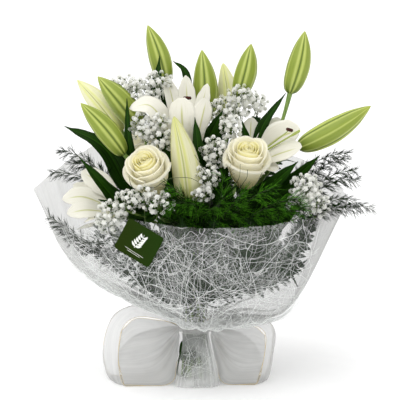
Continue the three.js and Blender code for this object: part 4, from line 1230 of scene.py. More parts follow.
def tuft(chance, a, b, count, length, radius, hang):
    """The needles in mm that leave a branchlet at b, where it runs on from a."""
    needles = []
    for _ in range(count):
        side = any_way(chance)
        aim = (b - a).normalized() + side * 0.42 - Vector((0, 0, hang))
        tip = b + aim.normalized() * chance.uniform(0.7, 1.2) * length
        needle = in_frame([b, (b + tip) / 2 + side * 0.4 + Vector((0, 0, hang)), tip])
        needles.append((needle, [0.8 * radius * MM, radius * MM, 0.4 * radius * MM]))
    return needles


def plume(chance, points, width, pitch, in_tuft, needle_length, needle_radius, hang, sweep):
    """The strands of one plume in mm: its rib and branchlets, and its needles in two lists, turn by turn."""
    rows = 60
    spine = smooth_line(points, rows)
    length = sum((a - b).length for a, b in zip(spine, spine[1:]))
    ribs = [(in_frame(spine), taper(0.6 * MM, 0.2 * MM, rows))]
    needles = [[], []]
    plane = Vector((0, -0.45, 1)).cross(spine[-1] - spine[0]).normalized()
    count = round(length / pitch)
    for k in range(count):
        share = (k + 0.5) / count
        if share < BARE_FOOT:
            continue
        at = spine[round(share * (rows - 1))]
        way = (spine[min(round(share * rows) + 1, rows - 1)] - at).normalized() if share < 0.97 else way
        turn = math.radians(SPIRAL * k + chance.uniform(-20, 20))
        out = Matrix.Rotation(turn, 3, way) @ way.orthogonal().normalized()
        out += plane * out.dot(plane) * 0.9
        reach = width / 2 * min(1, 4 * (share - 0.15)) * (1.1 - share) ** 0.55 * chance.uniform(0.75, 1.15)
        end = at + (out.normalized() * (1.4 - sweep) + way * sweep) * reach
        end.z -= (0.1 + hang) * reach
        knots = stalk(at, out + way, end, out + way - Vector((0, 0, 0.5)), 0.3, max(3, round(reach / 1.7)))
        ribs.append((in_frame(knots), taper(0.28 * MM, 0.16 * MM, len(knots))))
        for a, b in zip(knots, knots[1:]):
            needles[k % 2] += tuft(chance, a, b, in_tuft, needle_length, needle_radius, hang)
    return ribs, needles


for name, (ring, hub, lean, dark, plumes) in FERNS.items():
    chance = random.Random("fern " + name)
    bm = bmesh.new()
    fork, _ = filler_stem(bm, slot_at(*ring), hub, lean)
    for points, width in plumes:
        start = fork + (Vector(points[0]) - fork) * 0.5 + Vector((0, 0, -6))
        ribs, needles = plume(chance, [fork, start, *points], width, *(DARK_PLUME if dark else FRONT_PLUME))
        strands(bm, ribs, 1)
        strands(bm, needles[0], 0)
        # Every other branchlet's needles take the near-black finish: painted shade among the branchlets.
        strands(bm, needles[1], 2)
    for line in TWIGS if name == "front" else ():
        low = fork + (Vector(line[0]) - fork) * 0.6 + Vector((0, -6, -12))
        spine = smooth_line([fork, low, *line], 30)
        strands(bm, [(in_frame(spine), taper(0.55 * MM, 0.3 * MM, 30))], 1)
    skin = FERN_DARK_AND_SHADE if dark else FERN_FRONT
    piece("fern_plumes_" + name, bm, [skin, FERN_RIB, FERN_DARK_AND_SHADE], "asparagus_fern", "fern_" + name)

# %% [markdown]
# ## Leatherleaf fern
# Leatherleaf is the flat fern of florists: a rib with pairs of leathery leaflets whose edges are toothed. It
# stands low in the bunch and shows through the front sheet as dark toothed shapes, so several fronds fan out
# from each of its stems. A leaflet is the same blade as a leaf, with an outline that steps in and out.

# %% Leatherleaf finish and outline
FROND = leaf_skin("leathery_fern_leaflet", "#0a1e04", "#16360a", "#264a12")
TEETH = 7
TOOTHED = []
for k in range(TEETH):
    reach = 1 - (k / TEETH) ** 1.6
    TOOTHED += [(k / TEETH, 0.55 * reach + 0.06), ((k + 0.55) / TEETH, reach + 0.04)]
TOOTHED.append((1, 0.03))
print("leaflet outline:", len(TOOTHED), "points")

# %% Fronds
# Each: where its stem stands, where that ends and leans, and its fronds as three points on the way to the
# tip, the width and the way the frond faces.
LEAFLET_PAIRS = 12
FRONDS = {
    "front_left": (("rim", 270), (-14, -56, 104), (-0.2, -0.8, 0.8), [
        ((-40, -90, 138), (-54, -104, 164), (-60, -112, 188), 46, (-0.1, -1, 0.4)),
        ((-12, -92, 140), (-10, -108, 170), (-6, -116, 198), 44, (0.1, -1, 0.4)),
        ((-56, -70, 138), (-84, -90, 160), (-104, -102, 184), 42, (-0.4, -0.9, 0.4)),
        ((-30, -80, 150), (-34, -102, 188), (-36, -110, 212), 46, (-0.1, -1, 0.4)),
        ((-50, -80, 150), (-76, -100, 178), (-90, -104, 202), 46, (-0.3, -1, 0.4)),
        ((-52, -88, 170), (-60, -104, 202), (-62, -108, 226), 46, (-0.1, -1, 0.4)),
        ((-84, -58, 160), (-112, -74, 196), (-122, -82, 222), 46, (-0.4, -1, 0.4)),
        ((-20, -88, 170), (-18, -104, 200), (-16, -110, 226), 46, (0, -1, 0.4))]),
    "front_right": (("outer", 300), (44, -66, 116), (0.7, -0.5, 0.6), [
        ((84, -86, 150), (106, -94, 176), (124, -98, 198), 50, (0.3, -1, 0.4)),
        ((50, -90, 150), (62, -104, 178), (68, -112, 204), 46, (0.1, -1, 0.4)),
        ((24, -86, 138), (30, -104, 168), (34, -114, 196), 42, (0, -1, 0.4)),
        ((92, -62, 140), (118, -68, 154), (136, -70, 168), 42, (0.4, -0.9, 0.5)),
        ((64, -82, 150), (86, -102, 184), (98, -104, 208), 50, (0.2, -1, 0.4)),
        ((88, -74, 150), (118, -84, 180), (138, -82, 198), 46, (0.3, -0.9, 0.4)),
        ((46, -84, 140), (50, -102, 170), (52, -112, 194), 46, (0, -1, 0.4)),
        ((68, -74, 160), (102, -86, 190), (124, -68, 150), 46, (0.3, -1, 0.4)),
        ((10, -78, 130), (4, -98, 158), (2, -110, 182), 46, (0, -1, 0.4)),
        ((80, -84, 170), (94, -98, 202), (102, -100, 228), 50, (0.2, -1, 0.4)),
        ((100, -78, 170), (124, -86, 200), (134, -84, 224), 48, (0.3, -1, 0.4)),
        ((60, -80, 176), (66, -98, 208), (70, -106, 232), 48, (0.1, -1, 0.4)),
        ((108, -44, 150), (136, -50, 184), (150, -52, 212), 46, (0.4, -0.8, 0.4)),
        ((20, -84, 176), (22, -100, 206), (24, -108, 230), 46, (0, -1, 0.4))]),
    "back": (("outer", 60), (46, 72, 200), (0.4, 0.6, 1), [
        ((70, 112, 262), (80, 124, 296), (84, 130, 326), 50, (0.2, 1, 0.2)),
        ((40, 106, 256), (30, 120, 288), (22, 128, 312), 44, (-0.1, 1, 0.2)),
        ((92, 96, 250), (112, 106, 276), (124, 110, 298), 42, (0.5, 0.9, 0.2))]),
}


def frond(bm, chance, points, width, face):
    """One frond in mm: a rib with leaflets on both sides, wide near its foot and small at its tip."""
    rows = 40
    spine = smooth_line(points, rows)
    strands(bm, [(in_frame(spine), taper(0.9 * MM, 0.3 * MM, rows))], 1, roundness=1)
    face = Vector(face).normalized()
    for k in range(LEAFLET_PAIRS):
        share = 0.28 + 0.7 * k / (LEAFLET_PAIRS - 1)
        at = spine[min(round(share * rows), rows - 2)]
        way = (spine[min(round(share * rows) + 1, rows - 1)] - at).normalized()
        for sign in (-1, 1):
            side = way.cross(face).normalized() * sign
            reach = width / 2 * (1.12 - share) ** 0.6 * min(1, 3.2 * (share - 0.1)) * chance.uniform(0.9, 1.1)
            aim = (side + way * 0.55 + face * chance.uniform(-0.15, 0.1)).normalized()
            ends = [at, at + aim * reach * 0.55 + way * 0.5, at + aim * reach - face * reach * 0.12]
            blade(bm, ends, 11 * (1.15 - share) ** 0.4, face, TOOTHED, rows=14, across=2, cup=0.12)
    tip = [spine[-3], spine[-2], spine[-1] + (spine[-1] - spine[-2]) * 4]
    blade(bm, tip, 6, face, TOOTHED, rows=14, across=2, cup=0.12)


for name, (ring, hub, lean, fronds) in FRONDS.items():
    chance = random.Random("frond " + name)
    bm = bmesh.new()
    fork, _ = filler_stem(bm, slot_at(*ring), hub, lean)
    for first, middle, last, width, face in fronds:
        between = fork + (Vector(first) - fork) * 0.5 + Vector((0, 0, -4))
        frond(bm, chance, [fork, between, first, middle, last], width, face)
    piece("frond_" + name, bm, [FROND, FERN_RIB], "leatherleaf", "leatherleaf_" + name, thickness=0.35 * MM)

# %% [markdown]
# ## The sheets of the collar
# Two sheets of fibre web stand round the flowers. Each is gathered tight at the tie, spreads out and up into
# the collar, and leaves a short tail below. The back one is a smooth fine nonwoven, and the front one is an
# open web of curled fibres. Cloth simulation would drape them, but this web is stiffened and holds the shape
# it was folded to, so each is a loft: lines round the bouquet at nine heights, joined by smooth lines from
# tail to rim.

# %% The collar's outline
BACK_WAIST, FRONT_WAIST = 19.6, 21.6  # mm from the axis, at the tie
# Round the bouquet, at each angle (0 right, 90 back, 180 left, 270 front), the distance from the axis and
# the height, in mm, of the bend out of the waist, the knee and the rim.
COLLAR = [
    (0, (60, 88), (124, 103), (199, 240)),
    (40, (64, 94), (124, 134), (180, 274)),
    (90, (62, 104), (112, 148), (150, 300)),
    (135, (66, 112), (122, 158), (160, 302)),
    (158, (72, 112), (142, 160), (165, 288)),
    (182, (78, 112), (164, 160), (208, 252)),
    (205, (74, 111), (154, 160), (194, 226)),
    (240, (62, 96), (118, 132), (152, 244)),
    (270, (58, 84), (112, 112), (137, 234)),
    (300, (58, 84), (126, 112), (160, 237)),
    (320, (60, 86), (138, 115), (177, 241)),
    (345, (60, 86), (129, 105), (197, 241)),
    (360, (60, 88), (124, 103), (199, 240)),
]


def collar_at(degrees):
    """The bend, the knee and the rim at an angle, as [distance, height]."""
    turn = degrees % 360
    k = next(i for i, row in enumerate(COLLAR) if row[0] > turn)
    low, high = COLLAR[k - 1], COLLAR[k]
    s = (turn - low[0]) / (high[0] - low[0])
    s = 0.5 * s + 0.5 * s * s * (3 - 2 * s)
    return [(a[0] + (b[0] - a[0]) * s, a[1] + (b[1] - a[1]) * s) for a, b in zip(low[1:], high[1:])]


print("collar's rim in front:", collar_at(270)[-1])

# %% The loft
TIE_ROWS = ((61, 0.5), (68, 0.75), (76, 1))  # mm up, and how far the span has gone from tail to collar


def loft(rows, across, along):
    """A lattice of points, first along and then across, on smooth lines through rows of points."""
    lines = [smooth_line(row, across + 1) for row in rows]
    return list(zip(*[smooth_line([line[k] for line in lines], along + 1) for k in range(across + 1)]))


def arc_row(place_at, tail_span, collar_span, gathered):
    """A line round the bouquet. Its angles go from the tail's span to the collar's as gathered goes to 1."""
    points = []
    for k in range(61):
        below = tail_span[0] + (tail_span[1] - tail_span[0]) * k / 60
        above = collar_span[0] + (collar_span[1] - collar_span[0]) * k / 60
        degrees = below + (above - below) * gathered
        reach, height = place_at(degrees)
        angle = math.radians(degrees)
        points.append(Vector((reach * math.cos(angle), reach * math.sin(angle), height)))
    return points


def sheet_lattice(waist, tail, tail_span, collar_span, off, across, along):
    """The sheet from its tail to its rim. `off` holds it outside its neighbour."""
    spans = (tail_span, collar_span)
    rows = [arc_row(lambda d, k=k: tail(d)[k], *spans, 0) for k in range(3)]
    rows += [arc_row(lambda d, z=z: (waist, z), *spans, share) for z, share in TIE_ROWS]
    for k, gap in enumerate((off / 2, off, off)):
        def place(degrees, k=k, gap=gap):
            reach, height = collar_at(degrees)[k]
            return reach + gap, height - gap

        rows.append(arc_row(place, *spans, 1))
    return loft(rows, across, along)


def back_tail(degrees):
    """The hem, the middle and the top of the back sheet's tail at an angle, as [distance, height]."""
    side = math.cos(math.radians(degrees))
    reach = 62 + (26 if side > 0 else 42) * side * side
    return (reach, 0.6), (reach * 0.97, 30), (reach * 0.7, 54)


def front_tail(degrees):
    """The same for the front sheet, whose tail is as deep at every angle."""
    return (60, 0.6), (55, 24), (40, 48)


back_plain = sheet_lattice(BACK_WAIST, back_tail, (4, 176), (-30, 210), 0, 220, 84)
front_plain = sheet_lattice(FRONT_WAIST, front_tail, (245, 302), (190, 350), 5, 170, 84)
print("lattices:", *(f"{len(plain)} by {len(plain[0])}" for plain in (back_plain, front_plain)))

# %% [markdown]
# A gathered sheet is never smooth: folds start at the tie and fade outwards. They are waves across the
# sheet, raised along its normal, and noise makes them drift and double. No fold may cross the tie or the
# table, so a point that would is set back.

# %% Folds
def folded(lattice, folds, least, seed, smooth_at=None):
    """Raises folds, in mm, along the lattice's normals, and keeps it `least` mm from the axis."""
    along, across = len(lattice) - 1, len(lattice[0]) - 1
    made = []
    for j, line in enumerate(lattice):
        v = j / along
        depth = 0.4 + 3.6 * math.exp(-(((v - 0.72) / 0.13) ** 2)) + 1.5 * max(v - 0.75, 0) / 0.25
        depth += 1.6 * max(0.3 - v, 0) / 0.3
        new_line = []
        for k, p in enumerate(line):
            u = k / across
            side = line[min(k + 1, across)] - line[max(k - 1, 0)]
            up = lattice[min(j + 1, along)][k] - lattice[max(j - 1, 0)][k]
            drift = noise.noise(Vector((u * 7, v * 2.5, seed)))
            beat = 2 * math.pi * folds * u + 5 * drift
            fold = 0.6 * math.sin(beat) + 0.4 * math.sin(2.3 * beat + 4 * drift + seed)
            fold += 0.5 * noise.noise(Vector((u * 24, v * 9, seed + 5)))
            calm = 1.0 if smooth_at is None else 1 - math.exp(-(((u - smooth_at) / 0.1) ** 2))
            q = p + side.cross(up).normalized() * fold * depth * calm
            reach = math.hypot(q.x, q.y)
            if reach < least:
                q = Vector((q.x * least / reach, q.y * least / reach, q.z))
            q.z = max(q.z, 0.4)
            new_line.append(q)
        made.append(new_line)
    return made


def line_length(line):
    """The length of a line of points, in their own unit."""
    return sum((a - b).length for a, b in zip(line, line[1:]))


def lattice_area(lattice):
    """The area of the lattice's quads, in square metres."""
    total = 0
    for low, high in zip(lattice, lattice[1:]):
        for a, b, c, d in zip(low, low[1:], high, high[1:]):
            total += 0.5 * (d - a).cross(c - b).length
    return total * MM * MM


TAG_AT = (241 - 190) / 160  # where the tag lies across the front sheet, which is smooth there
back_lattice = folded(back_plain, folds=15, least=18.9, seed=3.0)
front_lattice = folded(front_plain, folds=10, least=21.0, seed=8.0, smooth_at=TAG_AT)
for name, lattice in (("back", back_lattice), ("front", front_lattice)):
    print(name, "sheet:", round(lattice_area(lattice), 4), "m2, rim", round(line_length(lattice[-1])), "mm")

# %% [markdown]
# ## What the sheets are made of
# The nonwoven is a felt of white fibres, finer than a tenth of a millimetre, that all run roughly from the
# tie to the rim. At this size they only read as streaks, so two stretched noises, one of fine streaks and one
# of broad ones, make it more or less opaque.

# %% Felt
def fine_felt(name, width, length, thin, thick, glow, tail=1.0, fine=(1.1, 60), broad=(7, 160),
              tints=("#c8c8c7", "#d4d4d2")):
    """Translucent felt, in mm. Its streaks run along the sheet, and its tail can be thinner than the rest."""
    made, tree, shader = material(name, Roughness=0.75, Sheen_Weight=0.2)
    fine_streaks = veins(tree, *fine, width, length, 2.0)
    broad_streaks = veins(tree, *broad, width, length, 3.0)
    clumps = add(tree, "Math", ADD, add(tree, "Math", MULTIPLY, fine_streaks, 0.4),
                 add(tree, "Math", MULTIPLY, broad_streaks, 0.6))
    _, along = petal_place(tree)
    cover = add(tree, "Math", MULTIPLY, add(tree, "MapRange", SMOOTH, clumps, 0.36, 0.64, thin, thick),
                add(tree, "MapRange", SMOOTH, along, 0.4, 0.52, tail, 1.0))
    tree.links.new(cover, shader.inputs["Alpha"])
    colour = painted(tree, tints[0], (tints[1], broad_streaks, 0.35, 0.65))
    set_finish(tree, shader, colour, fine_streaks, 0.15, through=glow, glow="#d3d3d2")
    return made


FELT = fine_felt("fine_white_felt", 760, 320, 0.46, 0.6, 0.14, tail=0.8)
print("back sheet's finish:", FELT.name)

# %% [markdown]
# The open web is fibres about half a millimetre thick, crimped into loops and glued where they cross, with
# holes of 3 to 5 mm. Noise crosses its middle value along closed curls, so a narrow band round that value
# draws such loops: two coarse patterns for long curls, and two fine ones for the net between them. Behind
# them lies a haze of fibres too fine to see singly. It is full below the collar, all but gone where the
# flowers' leaves show through the belly, and patchy in the tail, where the layers lie apart.

# %% Open web
def fibre_band(tree, place, cell, low, high):
    """1 along the curls of noise with cells of that many mm, fading from low to high on either side."""
    curling = add(tree, "TexNoise", Vector=place, Scale=1000.0 / cell, Detail=1.0, Roughness=0.4)
    return add(tree, "MapRange", SMOOTH, off_middle(tree, curling), low, high, 1.0, 0.0)


WEB, tree, shader = material("open_fibre_web", Roughness=0.6, Sheen_Weight=0.2)
place = add(tree, "TexCoord", output="Object")
moved = add(tree, "Mapping", Vector=place, Location=(0.31, 0.17, 0.23))
across, along = petal_place(tree)
clouds = add(tree, "TexNoise", Vector=place, Scale=28.0, Detail=2.0)  # patches of 36 mm
patches = add(tree, "TexNoise", Vector=moved, Scale=24.0, Detail=1.0)  # patches of 42 mm

haze = add(tree, "Math", MULTIPLY, add(tree, "MapRange", SMOOTH, clouds, 0.3, 0.7, 0.94, 1.2),
           add(tree, "MapRange", SMOOTH, along, 0.745, 0.86, 1.0, 0.04))
tail_haze = add(tree, "MapRange", SMOOTH, patches, 0.4, 0.62, 0.16, 0.56)
above_tail = add(tree, "MapRange", SMOOTH, along, 0.45, 0.58)
haze = add(tree, "Math", MULTIPLY, haze, add(tree, "Math", MAXIMUM, tail_haze, above_tail))

net = add(tree, "Math", MAXIMUM, fibre_band(tree, place, 3.6, 0.02, 0.09),
          fibre_band(tree, moved, 4.6, 0.02, 0.08))
net = add(tree, "Math", MULTIPLY, net, add(tree, "MapRange", SMOOTH, patches, 0.38, 0.62, 0.04, 0.3))
curls = add(tree, "Math", MAXIMUM, fibre_band(tree, place, 34, 0.003, 0.008),
            fibre_band(tree, moved, 26, 0.003, 0.009))
threads = add(tree, "Math", MAXIMUM, net, add(tree, "Math", MULTIPLY, curls, 0.5))
open_part = add(tree, "Math", MULTIPLY, add(tree, "MapRange", SMOOTH, across, 0.08, 0.16),
                add(tree, "MapRange", SMOOTH, across, 0.80, 0.88, 1.0, 0.0))
cover = add(tree, "Math", MAXIMUM, add(tree, "Math", MULTIPLY, threads, open_part), haze)
tree.links.new(cover, shader.inputs["Alpha"])
colour = painted(tree, "#dedfde", ("#eeefee", curls))
set_finish(tree, shader, colour, threads, 0.3, through=0.1, glow="#cfd1cf")
FIBRE = speckled("crimped_white_fibre", "#dee0de", "#f4f6f4", 0.6)
print("front sheet's finishes:", WEB.name, FIBRE.name)

# %% [markdown]
# The lattices are the sheets already, so each becomes a grid of faces as it is. Each sheet is a fan shape,
# narrower at the waist.

# %% The sheets
def lattice_piece(name, lattice, skin, slot, *nodes, closed=False):
    """The lattice, in mm, as a piece: a grid of faces, joined at its sides if it goes round the bunch."""
    along, across = len(lattice) - 1, len(lattice[0]) - 1
    bm = bmesh.new()
    patch(bm, lambda u, v: spot(*lattice[round(v * along)][round(u * across)]), across, along)
    if closed:
        bmesh.ops.remove_doubles(bm, verts=bm.verts, dist=0.01 * MM)
    return piece(name, bm, [skin], slot, *nodes)


back_sheet = lattice_piece("sheet_back", back_lattice, FELT, "wrap_fibre", "wrap_back_sheet")
front_sheet = lattice_piece("sheet_front", front_lattice, WEB, "wrap_web", "wrap_front_sheet")

# %% [markdown]
# The longest curls of the web stand proud of it and catch the light, so they are real strands. Each wanders
# over the sheet with a curvature that changes slowly, as a crimped fibre lies.

# %% Curled fibres on the web
FIBRE_STEP = 3  # mm from point to point of a fibre
FIBRES, IN_BELLY = 480, 430  # all of them, and those on the belly of the web, not on its tail
BELLY, TAIL = (0.6, 0.995), (0.04, 0.45)  # shares of the way from tail to rim
LENGTHS = (90, 320)  # mm
FIBRE_RADII = (0.09, 0.12, 0.14, 0.18, 0.26)  # mm
TURNING = 0.03  # how fast a fibre's curvature changes
FEWEST_POINTS = 12


def on_lattice(lattice, u, v):
    """The point at u, v of the lattice, and the normal there."""
    along, across = len(lattice) - 1, len(lattice[0]) - 1
    x, y = u * across, v * along
    k, j = min(int(x), across - 1), min(int(y), along - 1)
    s, t = x - k, y - j
    a, b, c, d = lattice[j][k], lattice[j][k + 1], lattice[j + 1][k], lattice[j + 1][k + 1]
    point = a * (1 - s) * (1 - t) + b * s * (1 - t) + c * (1 - s) * t + d * s * t
    return point, (b - a).cross(c - a).normalized()


def curl(lattice, chance, length, stand_off, lowest, highest):
    """A fibre of that length in mm that starts on the lattice between two heights and curls about there."""
    u, v = chance.uniform(0.12, 0.86), chance.uniform(lowest + 0.02, highest)
    heading, bend = chance.uniform(0, 6.28), chance.gauss(0, TURNING)
    line = []
    for _ in range(round(length / FIBRE_STEP)):
        p, normal = on_lattice(lattice, u, v)
        line.append(spot(*(p + normal * stand_off)))
        wide = long = 400  # mm that u and v span here
        if u < 0.99:
            wide = max((on_lattice(lattice, min(u + 0.01, 1), v)[0] - p).length, 0.2) / 0.01
        if v < 0.99:
            long = max((on_lattice(lattice, u, min(v + 0.01, 1))[0] - p).length, 0.2) / 0.01
        u += FIBRE_STEP * math.cos(heading) / wide
        v += FIBRE_STEP * math.sin(heading) / long
        heading += bend * FIBRE_STEP
        bend += chance.gauss(0, TURNING * 0.35)
        bend *= 0.93
        if not (0.08 < u < 0.9 and lowest < v < highest):
            break
    return line


chance = random.Random("curled fibres")
lines = []
while len(lines) < FIBRES:
    span = BELLY if len(lines) < IN_BELLY else TAIL
    line = curl(front_lattice, chance, chance.uniform(*LENGTHS), chance.choice((-0.6, 0.6, 1.0)), *span)
    if len(line) > FEWEST_POINTS:
        radius = chance.choice(FIBRE_RADII) * MM
        lines.append((line, taper(radius, radius * 0.8, len(line))))
bm = bmesh.new()
strands(bm, lines)
curls_piece = piece("fibres_front", bm, [FIBRE], "wrap_web")

# %% [markdown]
# ## The tie and the ribbon
# The tie is jute twine, whose plies slant round it, and the ribbon is the felt of the back sheet cut narrow.
# The bow's inner fans are a denser, pleated felt, so their streaks follow the pleats, which radiate from the
# knot, and that felt is tinted darker grey as painted shade inside the loops. A gold thread is woven in along
# each edge, so thin that it is drawn a little thicker than it is.

# %% Tie and ribbon finishes
TWINE, tree, shader = material("twisted_jute", Roughness=0.85)
slanted = add(tree, "Mapping", Vector=add(tree, "TexCoord", output="Object"), Rotation=(0, 0.6, 0))
plies = add(tree, "TexWave", {"bands_direction": "Z"}, output="Fac", Vector=slanted, Scale=180.0)
set_finish(tree, shader, painted(tree, "#8d7340", ("#cbb27a", plies)), plies, 0.3)

SHEER = fine_felt("sheer_fibre_ribbon", 45, 280, 0.44, 0.52, 0.14)
# The fans' grey tints are darker than the ribbon's: painted shade inside the bow's loops.
SHADED_VEIL = fine_felt("pleated_fibre_ribbon", 90, 80, 0.64, 0.74, 0.06, fine=(60, 2.4), broad=(140, 9),
                 tints=("#b2b2b0", "#c2c2c0"))

GOLD, tree, shader = material("gold_thread", Metallic=0.7, Roughness=0.4)
wraps = add(tree, "TexNoise", Vector=add(tree, "TexCoord", output="Object"), Scale=1200.0)  # 0.8 mm apart
set_finish(tree, shader, painted(tree, "#b39a60", ("#e0d0a4", wraps)))
print("tie and ribbon:", TWINE.name, SHEER.name, SHADED_VEIL.name, GOLD.name)

# %% [markdown]
# Twine is wound five times round the stems, tight enough for the turns to touch, so it is one strand along a
# helix. Over it and both sheets goes a band of wide sheer ribbon, pleated to the height of the tie.

# %% The tie
COIL_TURNS, STEPS_A_TURN = 5.2, 40
COIL_R, TWINE_R, COIL_FOOT = 17.15, 1.0, 65

coil = []
for k in range(round(COIL_TURNS * STEPS_A_TURN) + 1):
    angle = 2 * math.pi * k / STEPS_A_TURN
    height = COIL_FOOT + 2 * TWINE_R * k / STEPS_A_TURN
    coil.append(spot(COIL_R * math.cos(angle), COIL_R * math.sin(angle), height))
bm = bmesh.new()
strands(bm, [(coil, [TWINE_R * MM] * len(coil))], roundness=2, capped=True)
piece("tie_twine", bm, [TWINE], "twine", "stem_tie")

# %% The band
BAND_R, BAND_FOOT, BAND_HEIGHT = 23.7, 62.8, 13
BAND_PLEATS = 4

band = []
for j in range(13):
    v = j / 12
    line = []
    for k in range(193):
        angle = 2 * math.pi * k / 192
        pleat = 0.35 * math.sin(2 * BAND_PLEATS * math.pi * v + 0.8 * math.sin(3 * angle))
        r = BAND_R - 0.5 * math.sin(math.pi * v) + pleat + 0.2 * math.sin(19 * angle)
        line.append(Vector((r * math.cos(angle), r * math.sin(angle), BAND_FOOT + BAND_HEIGHT * v)))
    band.append(line)
ribbon_band = lattice_piece("ribbon_round_tie", band, SHEER, "ribbon", "ribbon_band", closed=True)

# %% [markdown]
# The ribbon's bow is two great loops that stand on the table beside the stems and help to hold the bunch up.
# A loop is a loft between its two edges with its middle pushed out, because a stiff sheer ribbon bellies like
# a sail. The gold threads are strands along the same two edges.

# %% The loops of the bow
# Each loop's front edge and back edge, from the tie over the top, down to the table and back, in mm.
LOOPS = {
    "left": (
        [(-19, -17, 71), (-48, -36, 86), (-76, -46, 91), (-94, -51, 76), (-99, -52, 40), (-96, -52, 10),
         (-90, -52, 0.8), (-85, -52, 0.6), (-66, -50, 0.6), (-60, -48, 1), (-40, -36, 22), (-26, -20, 54)],
        [(-25, -5, 71), (-55, -4, 90), (-85, -4, 95), (-110, -4, 78), (-121, -4, 42), (-118, -4, 12),
         (-110, -4, 0.8), (-103, -4, 0.6), (-76, -4, 0.6), (-68, -4, 1), (-50, -5, 22), (-32, -6, 54)],
    ),
    "right": (
        [(19, -17, 70), (48, -34, 75), (76, -42, 79), (91, -45, 68), (90, -46, 42), (84, -46, 10),
         (78, -46, 0.8), (74, -46, 0.6), (58, -45, 0.6), (53, -44, 1), (40, -34, 22), (26, -20, 54)],
        [(25, -5, 70), (54, -4, 75), (84, -4, 80), (101, -4, 68), (102, -4, 42), (97, -4, 12),
         (90, -4, 0.8), (84, -4, 0.6), (66, -4, 0.6), (60, -4, 1), (46, -5, 22), (32, -6, 54)],
    ),
}
GOLD_R = 0.26  # mm
LOOP_BELLY = 7  # mm
LOOP_ROWS, LOOP_SIDES = 96, 16


def loop_lattice(edges, way_out, seed):
    """The ribbon between two edges, pushed out in its middle, with creases that start at the knot."""
    lattice = []
    for j, (a, b) in enumerate(zip(*edges)):
        v = j / LOOP_ROWS
        before, after = max(j - 1, 0), min(j + 1, LOOP_ROWS)
        along = (edges[0][after] - edges[0][before]).normalized()
        outward = Vector((0, 1, 0)).cross(along).normalized() * way_out
        line = []
        for k in range(LOOP_SIDES + 1):
            u = k / LOOP_SIDES
            belly = LOOP_BELLY * math.sin(math.pi * u) * min(1, 6 * v, 6 * (1 - v))
            crease = 1.6 * noise.noise(Vector((u * 3, v * 14, seed))) * math.sin(math.pi * u) ** 0.5
            crease += 1.2 * math.sin(5 * math.pi * u + seed) * math.exp(-10 * v)
            p = a.lerp(b, u) + outward * (belly + crease)
            p.z = max(p.z, 0.5)
            line.append(p)
        lattice.append(line)
    return lattice


def gold_piece(name, rims):
    """Gold threads along lines of the frame, as a piece of the ribbon."""
    bm = bmesh.new()
    strands(bm, [(rim, [GOLD_R * MM] * len(rim)) for rim in rims], roundness=1, capped=True)
    return piece(name, bm, [GOLD], "ribbon")


for name, (front, back) in LOOPS.items():
    seed, length, way_out = (2.0, 0.29, 1) if name == "left" else (7.0, 0.25, -1)
    edges = [smooth_line(edge, LOOP_ROWS + 1) for edge in (front, back)]
    lattice = loop_lattice(edges, way_out, seed)
    loop = lattice_piece("bow_loop_" + name, lattice, SHEER, "ribbon", "ribbon_loop_" + name)
    print("area, m2:", round(lattice_area(lattice), 4), "edge, mm:", round(line_length(edges[0])))
    rims = [[spot(line[end].x, line[end].y, max(line[end].z, 0.7)) for line in lattice] for end in (0, -1)]
    thread = gold_piece("gold_edges_" + name, rims)

# %% [markdown]
# ## The fans inside the loops
# The bow has a second, smaller pair of loops in front, and only their front walls show: two sheer fans that
# leave the knot narrow and pleated and open to the full width of the loops. They could be loops as well, but
# their back walls would only thicken the veil. Each is a sheet between three lines, its upper edge, its
# middle and its lower edge, with pleats that start at the knot and fade outwards.

# %% Fans of the bow
FAN_ACROSS, FAN_ALONG = 40, 32
GOLD_FROM = 12  # the lower edge has no gold nearer the knot than this
FANS = {
    "left": (
        [(-21.5, -15, 73.5), (-48, -37, 84.8), (-76, -46.6, 89.8), (-94.5, -51, 75)],
        [(-21.5, -15, 66), (-46, -50, 50), (-74, -57, 42), (-99, -52, 38)],
        [(-20, -15, 58.5), (-24, -34, 26), (-34, -48, 2.5), (-92, -51, 2)]),
    "right": (
        [(21.5, -15, 72.5), (48, -35, 74), (76, -42.5, 78), (90.5, -45, 67)],
        [(21.5, -15, 65), (46, -46, 46), (70, -51, 40), (90, -46, 40)],
        [(20, -15, 58), (28, -34, 26), (38, -44, 2.5), (80, -45.5, 2)]),
}
for name, rows in FANS.items():
    seed, flat = (4.0, (0.08, 0.09)) if name == "left" else (9.0, (0.07, 0.078))
    spread = loft([[Vector(p) for p in row] for row in rows], FAN_ACROSS, FAN_ALONG)
    lattice = []
    for j, row in enumerate(spread):
        v = j / FAN_ALONG
        line = []
        for k, p in enumerate(row):
            u = k / FAN_ACROSS
            pleat = 1.4 * math.sin(9 * math.pi * v + seed + 2 * u) * (1 - u) ** 1.5 * min(1, 8 * u)
            pleat += 1.3 * noise.noise(Vector((u * 2.5, v * 5, seed))) * math.sin(math.pi * u)
            line.append(p + Vector((0, -pleat, 0)))
        lattice.append(line)
    fan = lattice_piece("bow_fan_" + name, lattice, SHADED_VEIL, "ribbon")
    print("area, m2:", round(lattice_area(lattice), 5))
    rim = [*lattice[0], *(row[-1] for row in lattice[1:-1]), *reversed(lattice[-1][GOLD_FROM:])]
    thread = gold_piece("gold_edge_fan_" + name, [in_frame(rim)])

# %% [markdown]
# ## The tag
# A square card with round corners leans on the front sheet. The solid model's shape is right, so its node
# stays and gets a better finish: a smooth card printed dark green, a little warmer at one side, as uneven ink
# dries.

